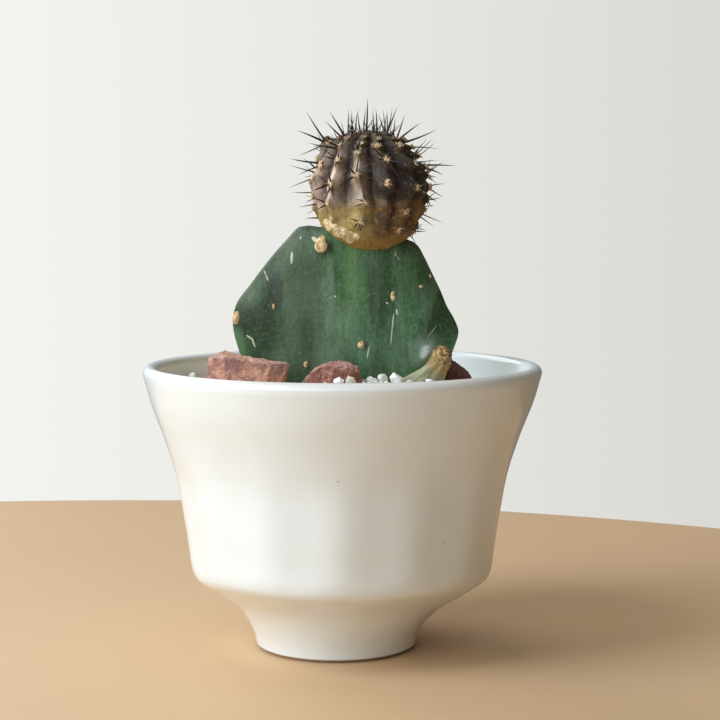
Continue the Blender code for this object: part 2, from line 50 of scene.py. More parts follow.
# %% [markdown]
# ## Helpers for selecting, shaping and handing over a piece
# Blender's operators act on whatever is selected, so each step starts with a clean selection. A finished
# piece keeps its object at the origin, with its place in its mesh, and rides on the one body of the part.

# %% Selection and hand-over


def select_only(*pieces):
    bpy.ops.object.select_all(action="DESELECT")
    for piece in pieces:
        piece.select_set(True)
    bpy.context.view_layer.objects.active = pieces[0]


def edit(piece, work):
    """Does some edit-mode work on everything in a piece."""
    select_only(piece)
    bpy.ops.object.mode_set(mode="EDIT")
    bpy.ops.mesh.select_all(action="SELECT")
    work()
    bpy.ops.object.mode_set(mode="OBJECT")


def clean_shell():
    bpy.ops.mesh.remove_doubles(threshold=0.01 * MM)
    bpy.ops.mesh.normals_make_consistent(inside=False)


def move_points(piece, rule):
    """Moves every point of a mesh to where rule puts it."""
    for point in piece.data.vertices:
        point.co = rule(point.co.copy())
    piece.data.update()


def hand_over(piece, name, finish, nodes=(), smooth_below=40):
    """Names a piece, applies its place, shades it, gives it its finish and lets it ride on the part."""
    piece.name = piece.data.name = name
    select_only(piece)
    bpy.ops.object.transform_apply(location=True, rotation=True, scale=True)
    bpy.ops.object.shade_smooth_by_angle(angle=math.radians(smooth_below))
    piece.data.materials.clear()
    piece.data.materials.append(finish)
    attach(piece, "root")
    if nodes:
        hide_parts(*nodes)
    piece.data.calc_loop_triangles()
    print(f"{name}: {len(piece.data.loop_triangles)} triangles")


def modify(piece, kind, **settings):
    """Applies one modifier at once."""
    select_only(piece)
    modifier = piece.modifiers.new(kind.lower(), kind)
    for key, value in settings.items():
        setattr(modifier, key, value)
    bpy.ops.object.modifier_apply(modifier=modifier.name)


def net_of(piece):
    """The points of a piece as an array, and its faces."""
    points = np.array([point.co[:] for point in piece.data.vertices])
    return points, [tuple(face.vertices) for face in piece.data.polygons]


def mesh_piece(points, faces):
    """A new object from points and faces worked out in code."""
    mesh = bpy.data.meshes.new("piece")
    mesh.from_pydata([tuple(p) for p in points], [], faces)
    piece = bpy.data.objects.new("piece", mesh)
    bpy.context.scene.collection.objects.link(piece)
    return piece


# %% [markdown]
# ## A small kit for mixing finishes
# Every finish is a Principled shader fed by procedural textures in object coordinates, which are true
# metres here. This kit adds a node or two per call, so a finish reads like a recipe.

# %% Kit for finishes


def paint(red, green, blue):
    """A colour as seen on a screen, 0 to 255, made linear for the shader."""
    shares = (red / 255, green / 255, blue / 255)
    return (*[s / 12.92 if s <= 0.04045 else ((s + 0.055) / 1.055) ** 2.4 for s in shares], 1.0)


class Finish:
    """A Principled material. Its colour starts as one mix, and lay puts others over it."""

    def __init__(self, name, roughness):
        self.material = bpy.data.materials.new(name)
        self.material.use_nodes = True
        self.tree = self.material.node_tree
        self.shader = self.tree.nodes["Principled BSDF"]
        self.put("Roughness", roughness)
        self.place = self.add("ShaderNodeTexCoord").outputs["Object"]

    def add(self, kind, **settings):
        node = self.tree.nodes.new(kind)
        for key, value in settings.items():
            setattr(node, key, value)
        return node

    def feed(self, socket, value):
        if isinstance(value, bpy.types.NodeSocket):
            self.tree.links.new(value, socket)
        else:
            socket.default_value = value

    def put(self, name, value):
        self.feed(self.shader.inputs[name], value)

    def axes(self):
        """The place split into x, y and z."""
        node = self.add("ShaderNodeSeparateXYZ")
        self.feed(node.inputs[0], self.place)
        return node.outputs[:]

    def stretch(self, x, y, z):
        node = self.add("ShaderNodeMapping")
        self.feed(node.inputs["Vector"], self.place)
        node.inputs["Scale"].default_value = (x, y, z)
        return node.outputs[0]

    def noise(self, size, detail=4.0, roughness=0.55, vector=None):
        """Cloudy noise whose largest blots are about size across."""
        node = self.add("ShaderNodeTexNoise")
        self.feed(node.inputs["Vector"], vector or self.place)
        for name, value in (("Scale", 1 / size), ("Detail", detail), ("Roughness", roughness)):
            node.inputs[name].default_value = value
        return node.outputs["Fac"]

    def cells(self, size, output="Distance"):
        """Cell noise. Distance runs from 0 at a cell's middle to about 0.7 between cells."""
        node = self.add("ShaderNodeTexVoronoi")
        self.feed(node.inputs["Vector"], self.place)
        node.inputs["Scale"].default_value = 1 / size
        return node.outputs[output]

    def note(self, name):
        """A number stored on the mesh's points."""
        return self.add("ShaderNodeAttribute", attribute_name=name).outputs["Fac"]

    def pointiness(self):
        """Near 0.5 on flat skin, less in cracks and more on edges."""
        return self.add("ShaderNodeNewGeometry").outputs["Pointiness"]

    def span(self, value, low, high, to_low=0.0, to_high=1.0):
        """Maps low..high smoothly to to_low..to_high."""
        node = self.add("ShaderNodeMapRange", interpolation_type="SMOOTHSTEP")
        self.feed(node.inputs[0], value)
        for socket, number in zip(node.inputs[1:5], (low, high, to_low, to_high)):
            socket.default_value = number
        return node.outputs[0]

    def zone(self, value, low, high, *ends):
        """A span whose low and high are places in mm."""
        return self.span(value, low * MM, high * MM, *ends)

    def math(self, operation, a, b=0.0):
        node = self.add("ShaderNodeMath", operation=operation)
        self.feed(node.inputs[0], a)
        self.feed(node.inputs[1], b)
        return node.outputs[0]

    def times(self, a, b):
        return self.math("MULTIPLY", a, b)

    def plus(self, a, b):
        return self.math("ADD", a, b)

    def less(self, a, b):
        return self.math("SUBTRACT", a, b)

    def mix(self, share, a, b, blend="MIX"):
        node = self.add("ShaderNodeMix", data_type="RGBA", blend_type=blend)
        for name, value in (("Factor", share), ("A", a), ("B", b)):
            self.feed(node.inputs[name], value)
        return node.outputs["Result"]

    def lay(self, share, colour, strength=None, blend="MIX"):
        """Lays a colour over what is there, where share says, and strength strong at most."""
        if strength is not None:
            share = self.times(share, strength)
        self.colour = self.mix(share, self.colour, colour, blend)

    def relief(self, height, depth, strength=1.0):
        """Bump: height 0..1 stands for 0..depth."""
        node = self.add("ShaderNodeBump")
        node.inputs["Strength"].default_value = strength
        node.inputs["Distance"].default_value = depth
        self.feed(node.inputs["Height"], height)
        self.put("Normal", node.outputs[0])

    def done(self):
        self.put("Base Color", self.colour)
        return self.material


def store_note(piece, name, values):
    layer = piece.data.attributes.new(name, "FLOAT", "POINT")
    layer.data.foreach_set("value", np.asarray(values, dtype=np.float32))


# %% [markdown]
# ## The camera
# The photo was taken a little above the rim and level with the sides of the pot. Its frame is a square
# of 720 pixels. The pinhole below was solved from the pot's rim, foot and width, so a pixel of the photo
# and a ray of this camera are the same line, and small things can be placed by where they are seen.

# %% Camera and lines of sight
FRAME_SIDE = 720
FOCAL_PIXELS = 1628
SENSOR = 36.0
EYE = Vector((4.84, -450.0, 112.73)) * MM
LOOK_DOWN = 0.073483
NEAREST_SEEN = 0.01

bpy.ops.object.camera_add(location=EYE, rotation=(math.pi / 2 - LOOK_DOWN, 0, 0))
camera = bpy.context.object
camera.name = "camera"
camera.data.sensor_width = SENSOR
camera.data.lens = SENSOR * FOCAL_PIXELS / FRAME_SIDE
camera.data.clip_start = NEAREST_SEEN
bpy.context.scene.camera = camera


def sight(u, v):
    """The direction in which the camera sees pixel (u, v)."""
    across, down = (u - FRAME_SIDE / 2) / FOCAL_PIXELS, (v - FRAME_SIDE / 2) / FOCAL_PIXELS
    c, s = math.cos(LOOK_DOWN), math.sin(LOOK_DOWN)
    return Vector((across, c - down * s, -s - down * c)).normalized()


def seen_at(u, v, y):
    """The point seen at pixel (u, v) on the upright plane at y."""
    ray = sight(u, v)
    return EYE + ray * ((y - EYE.y) / ray.y)


print("lens", round(camera.data.lens, 2))

# %% [markdown]
# ## Floor, daylight and surroundings
# A plain pale round floor carries the pot. Soft daylight comes from a window on the left, and the side
# away from it gets a dim warm fill, as in a room. The lamps don't show, so other views stay clean too.

# %% Floor
FLOOR_RADIUS, FLOOR_DEPTH = 450 * MM, 20 * MM
FLOOR_MIDDLE = (-95 * MM, -198 * MM, -10.1 * MM)  # its top lies 0.1 mm under the pot
bpy.ops.mesh.primitive_cylinder_add(
    vertices=256, radius=FLOOR_RADIUS, depth=FLOOR_DEPTH, location=FLOOR_MIDDLE
)
floor = bpy.context.object
floor.name = "floor"
pale = Finish("pale_floor", 0.6)
pale.colour = pale.mix(pale.noise(60 * MM), paint(208, 173, 131), paint(213, 179, 138))
floor.data.materials.append(pale.done())
print("floor", round(2 * FLOOR_RADIUS, 2), "m wide")

# %% Daylight
LAMPS = [  # name, place and aim in metres, width and height, watts and colour
    ("window_left", (-0.86, -0.41, 0.78), (0, 0, 0.07), (0.60, 1.00), 15.6, (0.81, 0.90, 1.0)),
    ("window_back", (-0.75, 0.85, 0.75), (0, 0, 0.07), (1.0, 0.8), 6.5, (1.0, 1.0, 1.0)),
    ("room_front", (-0.62, -1.15, 0.50), (0, 0, 0.05), (1.2, 0.7), 5.1, (0.77, 0.89, 1.0)),
    ("ceiling_bounce", (0.35, 0.10, 1.30), (0.02, 0, 0.05), (0.9, 0.9), 1.3, (1.0, 0.95, 0.88)),
]
for name, place, aim, size, watts, colour in LAMPS:
    direction = (Vector(aim) - Vector(place)).to_track_quat("-Z", "Y")
    bpy.ops.object.light_add(type="AREA", location=place, rotation=direction.to_euler())
    lamp = bpy.context.object
    lamp.name = name
    lamp.data.shape = "RECTANGLE"
    lamp.data.size, lamp.data.size_y = size
    lamp.data.energy = watts
    lamp.data.color = colour
    lamp.visible_camera = False
print(len(LAMPS), "lamps")

# %% Wall and room
world = bpy.data.worlds.new("room")
bpy.context.scene.world = world
world.use_nodes = True
nodes, links = world.node_tree.nodes, world.node_tree.links
split = nodes.new("ShaderNodeSeparateXYZ")
links.new(nodes.new("ShaderNodeTexCoord").outputs["Generated"], split.inputs[0])


def fade_sideways(background, start, end, left, right):
    """Lets a background run from one colour on the left to another on the right."""
    fade, colour = nodes.new("ShaderNodeMapRange"), nodes.new("ShaderNodeMix")
    colour.data_type = "RGBA"
    links.new(split.outputs["X"], fade.inputs[0])
    fade.inputs[1].default_value, fade.inputs[2].default_value = start, end
    links.new(fade.outputs[0], colour.inputs["Factor"])
    colour.inputs["A"].default_value, colour.inputs["B"].default_value = left, right
    links.new(colour.outputs["Result"], background.inputs["Color"])


wall, room = nodes["Background"], nodes.new("ShaderNodeBackground")
# painted light: the wall seen behind is brighter on the left, by the window, and darker to the right
fade_sideways(wall, -0.25, 0.25, paint(245, 246, 242), paint(216, 215, 210))
fade_sideways(room, -0.1, 0.8, (0.95, 0.98, 1.0, 1), (0.37, 0.26, 0.155, 1))
room.inputs["Strength"].default_value = 0.28
choice = nodes.new("ShaderNodeMixShader")  # the camera sees the wall, and the part is lit by the room
links.new(nodes.new("ShaderNodeLightPath").outputs["Is Camera Ray"], choice.inputs[0])
links.new(room.outputs[0], choice.inputs[1])
links.new(wall.outputs[0], choice.inputs[2])
links.new(choice.outputs[0], nodes["World Output"].inputs["Surface"])
bpy.context.scene.view_settings.view_transform = "Standard"
print("stage is lit")

# %% [markdown]
# ## The pot
# The real pot was thrown on a wheel and then pressed into soft flutes. Turning a profile with Spin makes
# the thrown form. The flutes, the foot that sits a little off centre and the rim that stands a little
# higher at the back are then pressed in by moving the points, which no lathe step could do.

# %% Smooth curves through a few measured points


def smooth_step(low, high, value):
    share = min(1.0, max(0.0, (value - low) / (high - low)))
    return share * share * (3 - 2 * share)


def band(value, rise, fall):
    """0 to 1 to 0: a smooth rise over the first pair of levels and a smooth fall over the second."""
    return smooth_step(*rise, value) * (1 - smooth_step(*fall, value))


def curve_value(points, place):
    """A smooth curve through (place, value) points that never overshoots."""
    places = [p for p, _ in points]
    if place <= places[0]:
        return points[0][1]
    if place >= places[-1]:
        return points[-1][1]
    last = len(points) - 1
    span = next(i for i in range(last) if place <= places[i + 1])

    def slope(i):
        if i in (0, last):
            j = min(i, last - 1)
            return (points[j + 1][1] - points[j][1]) / (places[j + 1] - places[j])
        before = (points[i][1] - points[i - 1][1]) / (places[i] - places[i - 1])
        after = (points[i + 1][1] - points[i][1]) / (places[i + 1] - places[i])
        return 0.0 if before * after <= 0 else 2 * before * after / (before + after)

    width = places[span + 1] - places[span]
    t = (place - places[span]) / width
    return (
        (2 * t**3 - 3 * t**2 + 1) * points[span][1] + (t**3 - 2 * t**2 + t) * width * slope(span)
        + (3 * t**2 - 2 * t**3) * points[span + 1][1] + (t**3 - t**2) * width * slope(span + 1)
    )


def ways_along(places):
    """The way along a line of places up to each of them."""
    ways = [0.0]
    for before, after in zip(places, places[1:]):
        ways.append(ways[-1] + math.dist(before, after))
    return ways


def smooth_line(points, step):
    """Points about step apart on a smooth line through the given (a, b) points."""
    ways = ways_along(points)
    curves = [[(way, point[k]) for way, point in zip(ways, points)] for k in (0, 1)]
    count = max(2, round(ways[-1] / step))
    return [tuple(curve_value(curve, ways[-1] * i / count) for curve in curves) for i in range(count + 1)]


# %% Profile of the pot, in mm
RIM_RADIUS, RIM_HEIGHT, LIP_RADIUS, RIM_TILT = 55.0, 78.6, 2.0, 0.8
FLUTES, FLUTE_DEPTH = 14, 0.58
FOOT_SHIFT, BODY_SHIFT = -1.75, -0.2
SHOULDER_LIFT = 1.6  # the shoulder is a little higher at the front
POT_OUTSIDE = [
    (21.2, 0.0), (22.4, 0.9), (22.8, 3.0), (24.1, 6.0), (26.3, 9.2), (29.6, 12.4), (33.5, 15.0),
    (37.8, 17.8), (40.9, 20.2), (41.9, 23.0), (42.9, 30.0), (44.3, 39.0), (46.0, 48.5), (49.0, 58.5),
    (52.9, 69.0), (54.3, 74.0), (55.0, 76.6),
]
POT_INSIDE = [
    (51.0, 76.6), (50.8, 72.0), (48.9, 66.0), (45.4, 57.0), (41.4, 42.0), (39.2, 27.0), (34.6, 20.0),
    (26.0, 15.2),
]
FOOT_INSIDE = [(0.0, 1.5), (17.0, 1.5), (17.8, 0.0)]
BOWL_FLOOR = (0.0, 15.2)
lip = [(RIM_RADIUS - LIP_RADIUS * (1 - math.cos(math.radians(turn))),
        RIM_HEIGHT - LIP_RADIUS * (1 - math.sin(math.radians(turn)))) for turn in range(15, 180, 15)]
profile = FOOT_INSIDE + smooth_line(POT_OUTSIDE, 1.6) + lip + smooth_line(POT_INSIDE, 3.0) + [BOWL_FLOOR]
print(len(profile), "profile points")

# %% Turn the profile into a pot
TURN_STEPS = 12 * FLUTES
FLUTES_BEGIN, FLUTES_END = (18, 27), (44, 62)  # heights in mm over which the flutes come and go
FOOT_SHIFT_ENDS, BODY_SHIFT_ENDS = (4, 16), (62, 74)  # and over which the shifts do
LIFT_BEGINS, LIFT_ENDS, LIFTED_FRONT = (5, 14), (25, 36), (-8, -34)
SKIN_DEPTH = (3.4, 1.2)  # a point deeper in the wall than this is on the inside
BARE_RING = 1.6


def draw_line(points):
    """Extrudes one point from place to place, as a pencil would draw a profile."""
    bpy.ops.mesh.primitive_plane_add(size=MM, location=(0, 0, 0))
    line = bpy.context.object
    bpy.ops.object.mode_set(mode="EDIT")
    bpy.ops.mesh.merge(type="CENTER")
    here = Vector((points[0][0], 0, points[0][1])) * MM
    bpy.ops.transform.translate(value=here)
    for r, z in points[1:]:
        there = Vector((r, 0, z)) * MM
        bpy.ops.mesh.extrude_region_move(TRANSFORM_OT_translate={"value": there - here})
        here = there
    bpy.ops.object.mode_set(mode="OBJECT")
    return line


def turn_profile():
    bpy.ops.mesh.spin(steps=TURN_STEPS, angle=2 * math.pi, center=(0, 0, 0), axis=(0, 0, 1))
    clean_shell()


def press_by_hand(point):
    """Flutes, the shifted foot and the tilted rim. Points of the inside keep their place but for the rim."""
    radius, height = math.hypot(point.x, point.y) / MM, point.z / MM
    turn = math.atan2(point.x, -point.y)
    wall = curve_value([(z, r) for r, z in POT_OUTSIDE], height)
    outside = smooth_step(*SKIN_DEPTH, wall - radius) if height < RIM_HEIGHT - LIP_RADIUS else 0.0
    if height < BARE_RING:
        outside = 1.0
    fluted = band(height, FLUTES_BEGIN, FLUTES_END)
    inward = FLUTE_DEPTH * fluted * (0.5 - 0.5 * math.cos(FLUTES * turn)) * outside
    shift = FOOT_SHIFT + (BODY_SHIFT - FOOT_SHIFT) * smooth_step(*FOOT_SHIFT_ENDS, height)
    shift *= (1 - smooth_step(*BODY_SHIFT_ENDS, height)) * outside
    factor = 1 - inward / max(radius, 1.0)
    x, y = point.x * factor + shift * MM, point.y * factor
    tilt = RIM_TILT * (y / MM / RIM_RADIUS) * smooth_step(45, RIM_HEIGHT, height)
    lift = SHOULDER_LIFT * band(height, LIFT_BEGINS, LIFT_ENDS) * outside
    lift *= smooth_step(*LIFTED_FRONT, point.y / MM)
    return Vector((x, y, point.z + (tilt + lift) * MM))


pot = draw_line(profile)
edit(pot, turn_profile)
move_points(pot, press_by_hand)
print(len(pot.data.polygons), "faces of the pot")

# %% [markdown]
# ## White glaze
# The glaze is a thick glossy white that pools a little warm and cool, with faint throwing rings under it,
# a few pinholes, and a bare clay ring where the foot was wiped. The front of the lip has a little painted
# shade, darker and warmer, and the inner wall on the left has a warm painted shade.

# %% White glaze
glaze = Finish("white_glaze", 0.30)
x, y, z = glaze.axes()
cloud = glaze.noise(38 * MM, detail=3)
glaze.colour = glaze.mix(glaze.span(cloud, 0.35, 0.7), paint(240, 246, 246), paint(237, 241, 237))
rare = glaze.math("GREATER_THAN", glaze.cells(15 * MM, "Color"), 0.65)
pinhole = glaze.times(glaze.span(glaze.cells(15 * MM), 0.012, 0.026, 1.0, 0.0), rare)
glaze.lay(pinhole, paint(166, 154, 136))
# painted shade: the front of the lip is a little darker and warmer
glaze.lay(glaze.times(glaze.zone(z, 76.3, 77.4), glaze.zone(y, -20, -36)), paint(228, 224, 214))
# painted warm shade on the inner wall on the left
away = glaze.plus(glaze.times(x, x), glaze.times(y, y))
inner = glaze.times(glaze.span(away, (51.9 * MM) ** 2, (51.4 * MM) ** 2), glaze.zone(z, 68, 70))
glaze.lay(glaze.times(inner, glaze.zone(x, 6, -22)), paint(226, 216, 192), 0.9)
glaze.lay(glaze.zone(z, 0.5, 0.9, 1.0, 0.0), paint(176, 158, 132))
glaze.put("Coat Weight", 0.6)
glaze.put("Coat Roughness", 0.06)
rings = glaze.noise(5.5 * MM, detail=2, vector=glaze.stretch(0.06, 0.06, 1.0))
glaze.relief(glaze.plus(glaze.times(rings, 0.35), glaze.noise(17 * MM, detail=2)), 0.35 * MM, 0.5)
hand_over(pot, "glazed_pot", glaze.done(), ["pot"], 35)

# %% [markdown]
# ## Soil
# Hardly any of the soil shows between the grains, so the solid keeps its own mesh and only gets a crumbly
# dark finish.

# %% Soil finish
soil = Finish("dark_soil", 0.95)
soil.colour = soil.mix(soil.noise(3 * MM), paint(52, 40, 30), paint(96, 76, 58))
soil.relief(soil.noise(1.5 * MM), 0.8 * MM)
crumbly = soil.done()
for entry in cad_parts["potting_soil"].material_slots:
    entry.material = crumbly

# %% [markdown]
# ## The three lava stones
# Each is a piece of red scoria that was crushed, so it has flat struck faces and a pitted skin. An ico
# sphere is cut by planes with Bisect, as a hammer would, and is then remeshed fine and roughened with
# Displace modifiers: clouds of three sizes for its lumps, dents and pits.

# %% Struck stones
STONES = [  # name, middle, half sizes in mm, turn in degrees, radius of the blank, and planes
    ("lava_stone_left", (-25.9, -19.5, 74.7), (11.7, 6.4, 8.2), 0, 1.26, [
        ((0.02, -0.1, 1.0), 0.8), ((0.18, 0.0, 1.0), 0.8), ((-1.0, 0.0, 0.12), 0.88),
        ((-0.7, 0.1, 1.0), 1.06), ((1.0, -0.1, -0.3), 0.84), ((0.1, -1.0, 0.35), 0.84),
        ((-0.8, -0.9, 0.2), 0.92), ((0.8, -0.9, 0.1), 0.94), ((0.2, 1.0, 0.3), 0.84),
        ((-0.8, 0.8, 0.1), 0.94), ((0.7, 0.8, 0.2), 0.95), ((-0.6, -0.5, -0.9), 0.96),
        ((0.5, 0.4, -1.0), 0.92), ((0.0, 0.0, -1.0), 0.84),
    ]),
    ("lava_stone_middle", (-2.6, -17.2, 74.6), (8.8, 4.6, 6.6), 0, 1.12, [
        ((0.0, -0.1, 1.0), 0.87), ((-0.43, 0.0, 1.0), 0.81), ((-0.74, 0.0, 1.0), 0.78),
        ((-1.0, 0.0, 0.62), 0.8), ((0.91, 0.0, 1.0), 1.05), ((1.0, 0.0, 0.08), 0.89),
        ((0.1, -1.0, 0.5), 0.86), ((-0.8, -0.9, 0.0), 0.92), ((0.8, -0.9, -0.1), 0.94),
        ((0.2, 1.0, 0.4), 0.84), ((-0.7, 0.8, 0.1), 0.92), ((0.8, 0.8, 0.0), 0.94),
        ((0.0, 0.0, -1.0), 0.9),
    ]),
    ("lava_stone_right", (29.4, 11.6, 73.0), (6.9, 6.0, 6.2), -10, 1.12, [
        ((0.75, -0.2, 1.0), 0.76), ((-0.4, -0.3, 1.0), 0.8), ((0.1, -1.0, 0.4), 0.88),
        ((1.0, -0.7, 0.0), 0.9), ((-1.0, -0.5, 0.1), 0.9), ((0.2, 1.0, 0.6), 0.86),
        ((0.9, 0.8, 0.0), 0.92), ((-0.8, 0.8, 0.1), 0.92), ((0.2, 0.2, -1.0), 0.9),
    ]),
]
PEAKS = [  # stone, place of its raised corner in x, reach to its left and right, and rise in mm
    ("lava_stone_left", -31.2, 6.0, 3.8, 1.7), ("lava_stone_left", -17.5, 3.0, 9.0, 0.5),
]


def strike_faces(planes):
    """Cuts off what lies past each plane, told by its direction and its distance from the middle."""
    for normal, share in planes:
        direction = Vector(normal).normalized()
        bpy.ops.mesh.select_all(action="SELECT")
        bpy.ops.mesh.bisect(plane_co=direction * share, plane_no=direction, use_fill=True, clear_outer=True)


def roughen(piece, kind, size, strength, middle=0.5):
    """Dents a piece by a texture. Points at its middle level stay."""
    texture = bpy.data.textures.new(f"{kind}_{size:.4f}", type=kind)
    texture.noise_scale = size
    if kind == "CLOUDS":
        texture.noise_depth = 3
    modify(piece, "DISPLACE", texture=texture, texture_coords="LOCAL", strength=strength, mid_level=middle)


PEAK_BLEND = 6  # mm above a stone's middle over which the pull to a peak grows


def raise_peak(point, level, peak, left, right, rise):
    """Pulls the top of a stone up to a ridge at x = peak."""
    off = point.x / MM - peak
    share = max(0.0, 1 - (off / right if off > 0 else -off / left))
    return point + Vector((0, 0, rise * share * smooth_step(level, level + PEAK_BLEND, point.z / MM))) * MM


CHIPS, CHIP_DEPTH = 46, (0.01, 0.06)
STONE_VOXEL = 0.27 * MM
LUMPS = [(3.2, 0.9, 0.6), (1.4, 0.5, 0.5), (0.7, 0.2, 0.5)]  # size and height in mm, and level of rest
stones = []
chip_draw = random.Random(3)
for name, middle, half, turn, blank, planes in STONES:
    bpy.ops.mesh.primitive_ico_sphere_add(subdivisions=2, radius=blank)
    stone = bpy.context.object
    edit(stone, lambda: strike_faces(planes))
    chips = []
    for _ in range(CHIPS):
        way = Vector([chip_draw.gauss(0, 1) for _ in range(3)]).normalized()
        reach = max(point.co.dot(way) for point in stone.data.vertices)
        chips.append((way, reach - chip_draw.uniform(*CHIP_DEPTH)))
    edit(stone, lambda: strike_faces(chips))
    stone.scale = [h * MM for h in half]
    stone.rotation_euler.z = math.radians(turn)
    stone.location = Vector(middle) * MM
    select_only(stone)
    bpy.ops.object.transform_apply(location=True, rotation=True, scale=True)
    for owner, peak, left, right, rise in PEAKS:
        if owner == name:
            move_points(stone, lambda p: raise_peak(p, middle[2], peak, left, right, rise))
    modify(stone, "REMESH", mode="VOXEL", voxel_size=STONE_VOXEL)
    for size, height, rest in LUMPS:
        roughen(stone, "CLOUDS", size * MM, height * MM, rest)
    stones.append((stone, name))
    print(name, "has", len(planes) + CHIPS, "struck faces")

# %% Lava finish


def lava_finish(name, dusty, light, body, dark, dust):
    """Dust lies on what faces up. The broken faces show the body colour with lighter blots."""
    lava = Finish(name, 0.92)
    blots = lava.noise(3.6 * MM, detail=5, roughness=0.62)
    grain = lava.noise(0.9 * MM, detail=4, roughness=0.65)
    lava.colour = lava.mix(lava.span(blots, 0.42, 0.62), body, light)
    lava.lay(lava.span(grain, 0.46, 0.32), dark, 0.4)
    normal = lava.add("ShaderNodeSeparateXYZ")
    lava.feed(normal.inputs[0], lava.add("ShaderNodeNewGeometry").outputs["Normal"])
    upward = lava.plus(normal.outputs["Z"], lava.times(blots, 0.5))
    lava.lay(lava.span(upward, 0.55, 0.95), dusty, dust)
    # painted shade in the cracks, and pale dust on the edges that is partly a painted highlight
    shape = lava.pointiness()
    lava.lay(lava.span(shape, 0.485, 0.41), dark, 0.6)
    lava.lay(lava.span(shape, 0.515, 0.58), dusty, 0.6)
    lava.relief(grain, 0.3 * MM)
    return lava.done()


LAVAS = [  # name, colours of dust and edge highlight, light blots, body, pits and crack shade, and dust strength
    ("red_lava_dusty", (218, 174, 148), (208, 150, 124), (154, 112, 102), (84, 54, 44), 0.45),
    ("red_lava_fresh", (212, 168, 150), (164, 110, 92), (130, 80, 66), (62, 36, 30), 0.45),
    # the right stone's lava is a darker copy: painted shade for the stone in the joint's shade
    ("red_lava_shaded", (130, 88, 74), (104, 60, 48), (78, 44, 36), (36, 22, 20), 0.4),
]
for (stone, node), (name, *colours, dust) in zip(stones, LAVAS):
    finish = lava_finish(name, *[paint(*colour) for colour in colours], dust)
    hand_over(stone, node.replace("lava_stone", "scoria"), finish, [node], 50)

# %% [markdown]
# ## The flat green joint
# The rootstock is one flat joint of a cactus, cut level at the top for the graft. Its faces ripple softly
# where ribs would be, its right edge has a flat facet, and it narrows into the soil. A cylinder is cut
# into level slices with Bisect, and each slice is then pulled to its measured width and thickness.

# %% Measured slices of the joint
PAD_Y, PAD_MIDDLE_X, PAD_TOP, PAD_TOP_SLOPE = 1.0, 4.0, 115.1, -0.134
PAD_CREST_X, PAD_CREST, PAD_CREST_REACH = 2.0, 1.4, 28.0
PAD_RIPPLE, PAD_RIPPLE_LENGTH, PAD_RIPPLE_X, PAD_ROUNDING = 0.35, 11.5, -3.0, 2.6
PAD_SLICES = [  # height, left, right, half thickness in mm
    (45.0, -8.0, 8.5, 3.2), (47.0, -13.0, 13.0, 5.4), (56.0, -20.0, 19.0, 7.4),
    (68.0, -24.6, 24.8, 8.2), (76.0, -26.7, 28.2, 8.3), (82.5, -28.9, 30.8, 8.2),
    (87.5, -30.2, 32.2, 8.0), (90.5, -30.5, 31.2, 7.8), (94.5, -29.6, 29.0, 7.5),
    (100.0, -24.9, 27.1, 7.0), (107.0, -18.5, 24.3, 6.2), (111.0, -14.9, 22.4, 5.7),
    (113.5, -12.9, 20.9, 5.2), (115.1, -11.1, 18.8, 4.4),
]
PAD_COLUMNS = [[(row[0], row[column]) for row in PAD_SLICES] for column in range(4)]
PAD_SWELLS = [((25.2, 82.0), (3.4, 4.2), 1.7), ((-5.4, 110.4), (2.3, 3.0), 1.2)]  # middle, reach, height
DIP_X, DIP_LEFT, DIP_RIGHT, DIP_DEPTH = -16.5, 3.6, 8.5, 0.8  # the hollow beside the left edge
FACET_X, FACET_HEIGHT, FACET_LEAN, FACET_SLOPE = 22.4, 86.5, 0.28, 0.42  # the flat facet by the right edge
THINNEST_PAD = 0.4


def pad_width(height):
    return curve_value(PAD_COLUMNS[1], height), curve_value(PAD_COLUMNS[2], height)


def pad_face(x, height, front):
    """How far a face stands from the joint's middle plane, in mm."""
    left, right = pad_width(height)
    share = (2 * x - left - right) / (right - left)
    fullness = max(0.0, 1 - abs(share) ** PAD_ROUNDING) ** 0.5
    crest = PAD_CREST * max(0.0, 1 - abs(x - PAD_CREST_X) / PAD_CREST_REACH)
    ripple = PAD_RIPPLE * math.cos(2 * math.pi * (x - PAD_RIPPLE_X) / PAD_RIPPLE_LENGTH)
    reach = curve_value(PAD_COLUMNS[3], height) + crest + ripple
    if front:
        dip = math.exp(-(((x - DIP_X) / (DIP_LEFT if x < DIP_X else DIP_RIGHT)) ** 2))
        reach -= DIP_DEPTH * dip * band(height, (76, 88), (99, 108))
        for (a, b), (wide, high), rise in PAD_SWELLS:
            reach += rise * math.exp(-(((x - a) / wide) ** 2) - (((height - b) / high) ** 2))
        crease = FACET_X + (height - FACET_HEIGHT) * FACET_LEAN
        reach -= FACET_SLOPE * max(0.0, x - crease) * band(height, (83, 87), (98, 102))
    return fullness * max(THINNEST_PAD, reach)


def pad_slope(height):
    """The level slices tilt more and more towards the cut top."""
    return PAD_TOP_SLOPE * smooth_step(92, 112, height)


# %% Cut the blank into slices and pull each to shape
PAD_BLANK_SIDES = 128
PAD_STEP = 0.9
EDGE_CROWD = 0.85  # below 1, the sides crowd less towards the edges
PAD_BOTTOM = PAD_SLICES[0][0]
bpy.ops.mesh.primitive_cylinder_add(
    vertices=PAD_BLANK_SIDES, radius=1.0, depth=(PAD_TOP - PAD_BOTTOM) * MM, end_fill_type="TRIFAN",
    location=(0, 0, (PAD_TOP + PAD_BOTTOM) / 2 * MM),
)
pad = bpy.context.object
bpy.ops.object.transform_apply(location=True)


def slice_level():
    height = PAD_BOTTOM + PAD_STEP
    while height < PAD_TOP - PAD_STEP / 2:
        bpy.ops.mesh.select_all(action="SELECT")
        bpy.ops.mesh.bisect(plane_co=(0, 0, height * MM), plane_no=(0, 0, 1))
        height += PAD_STEP


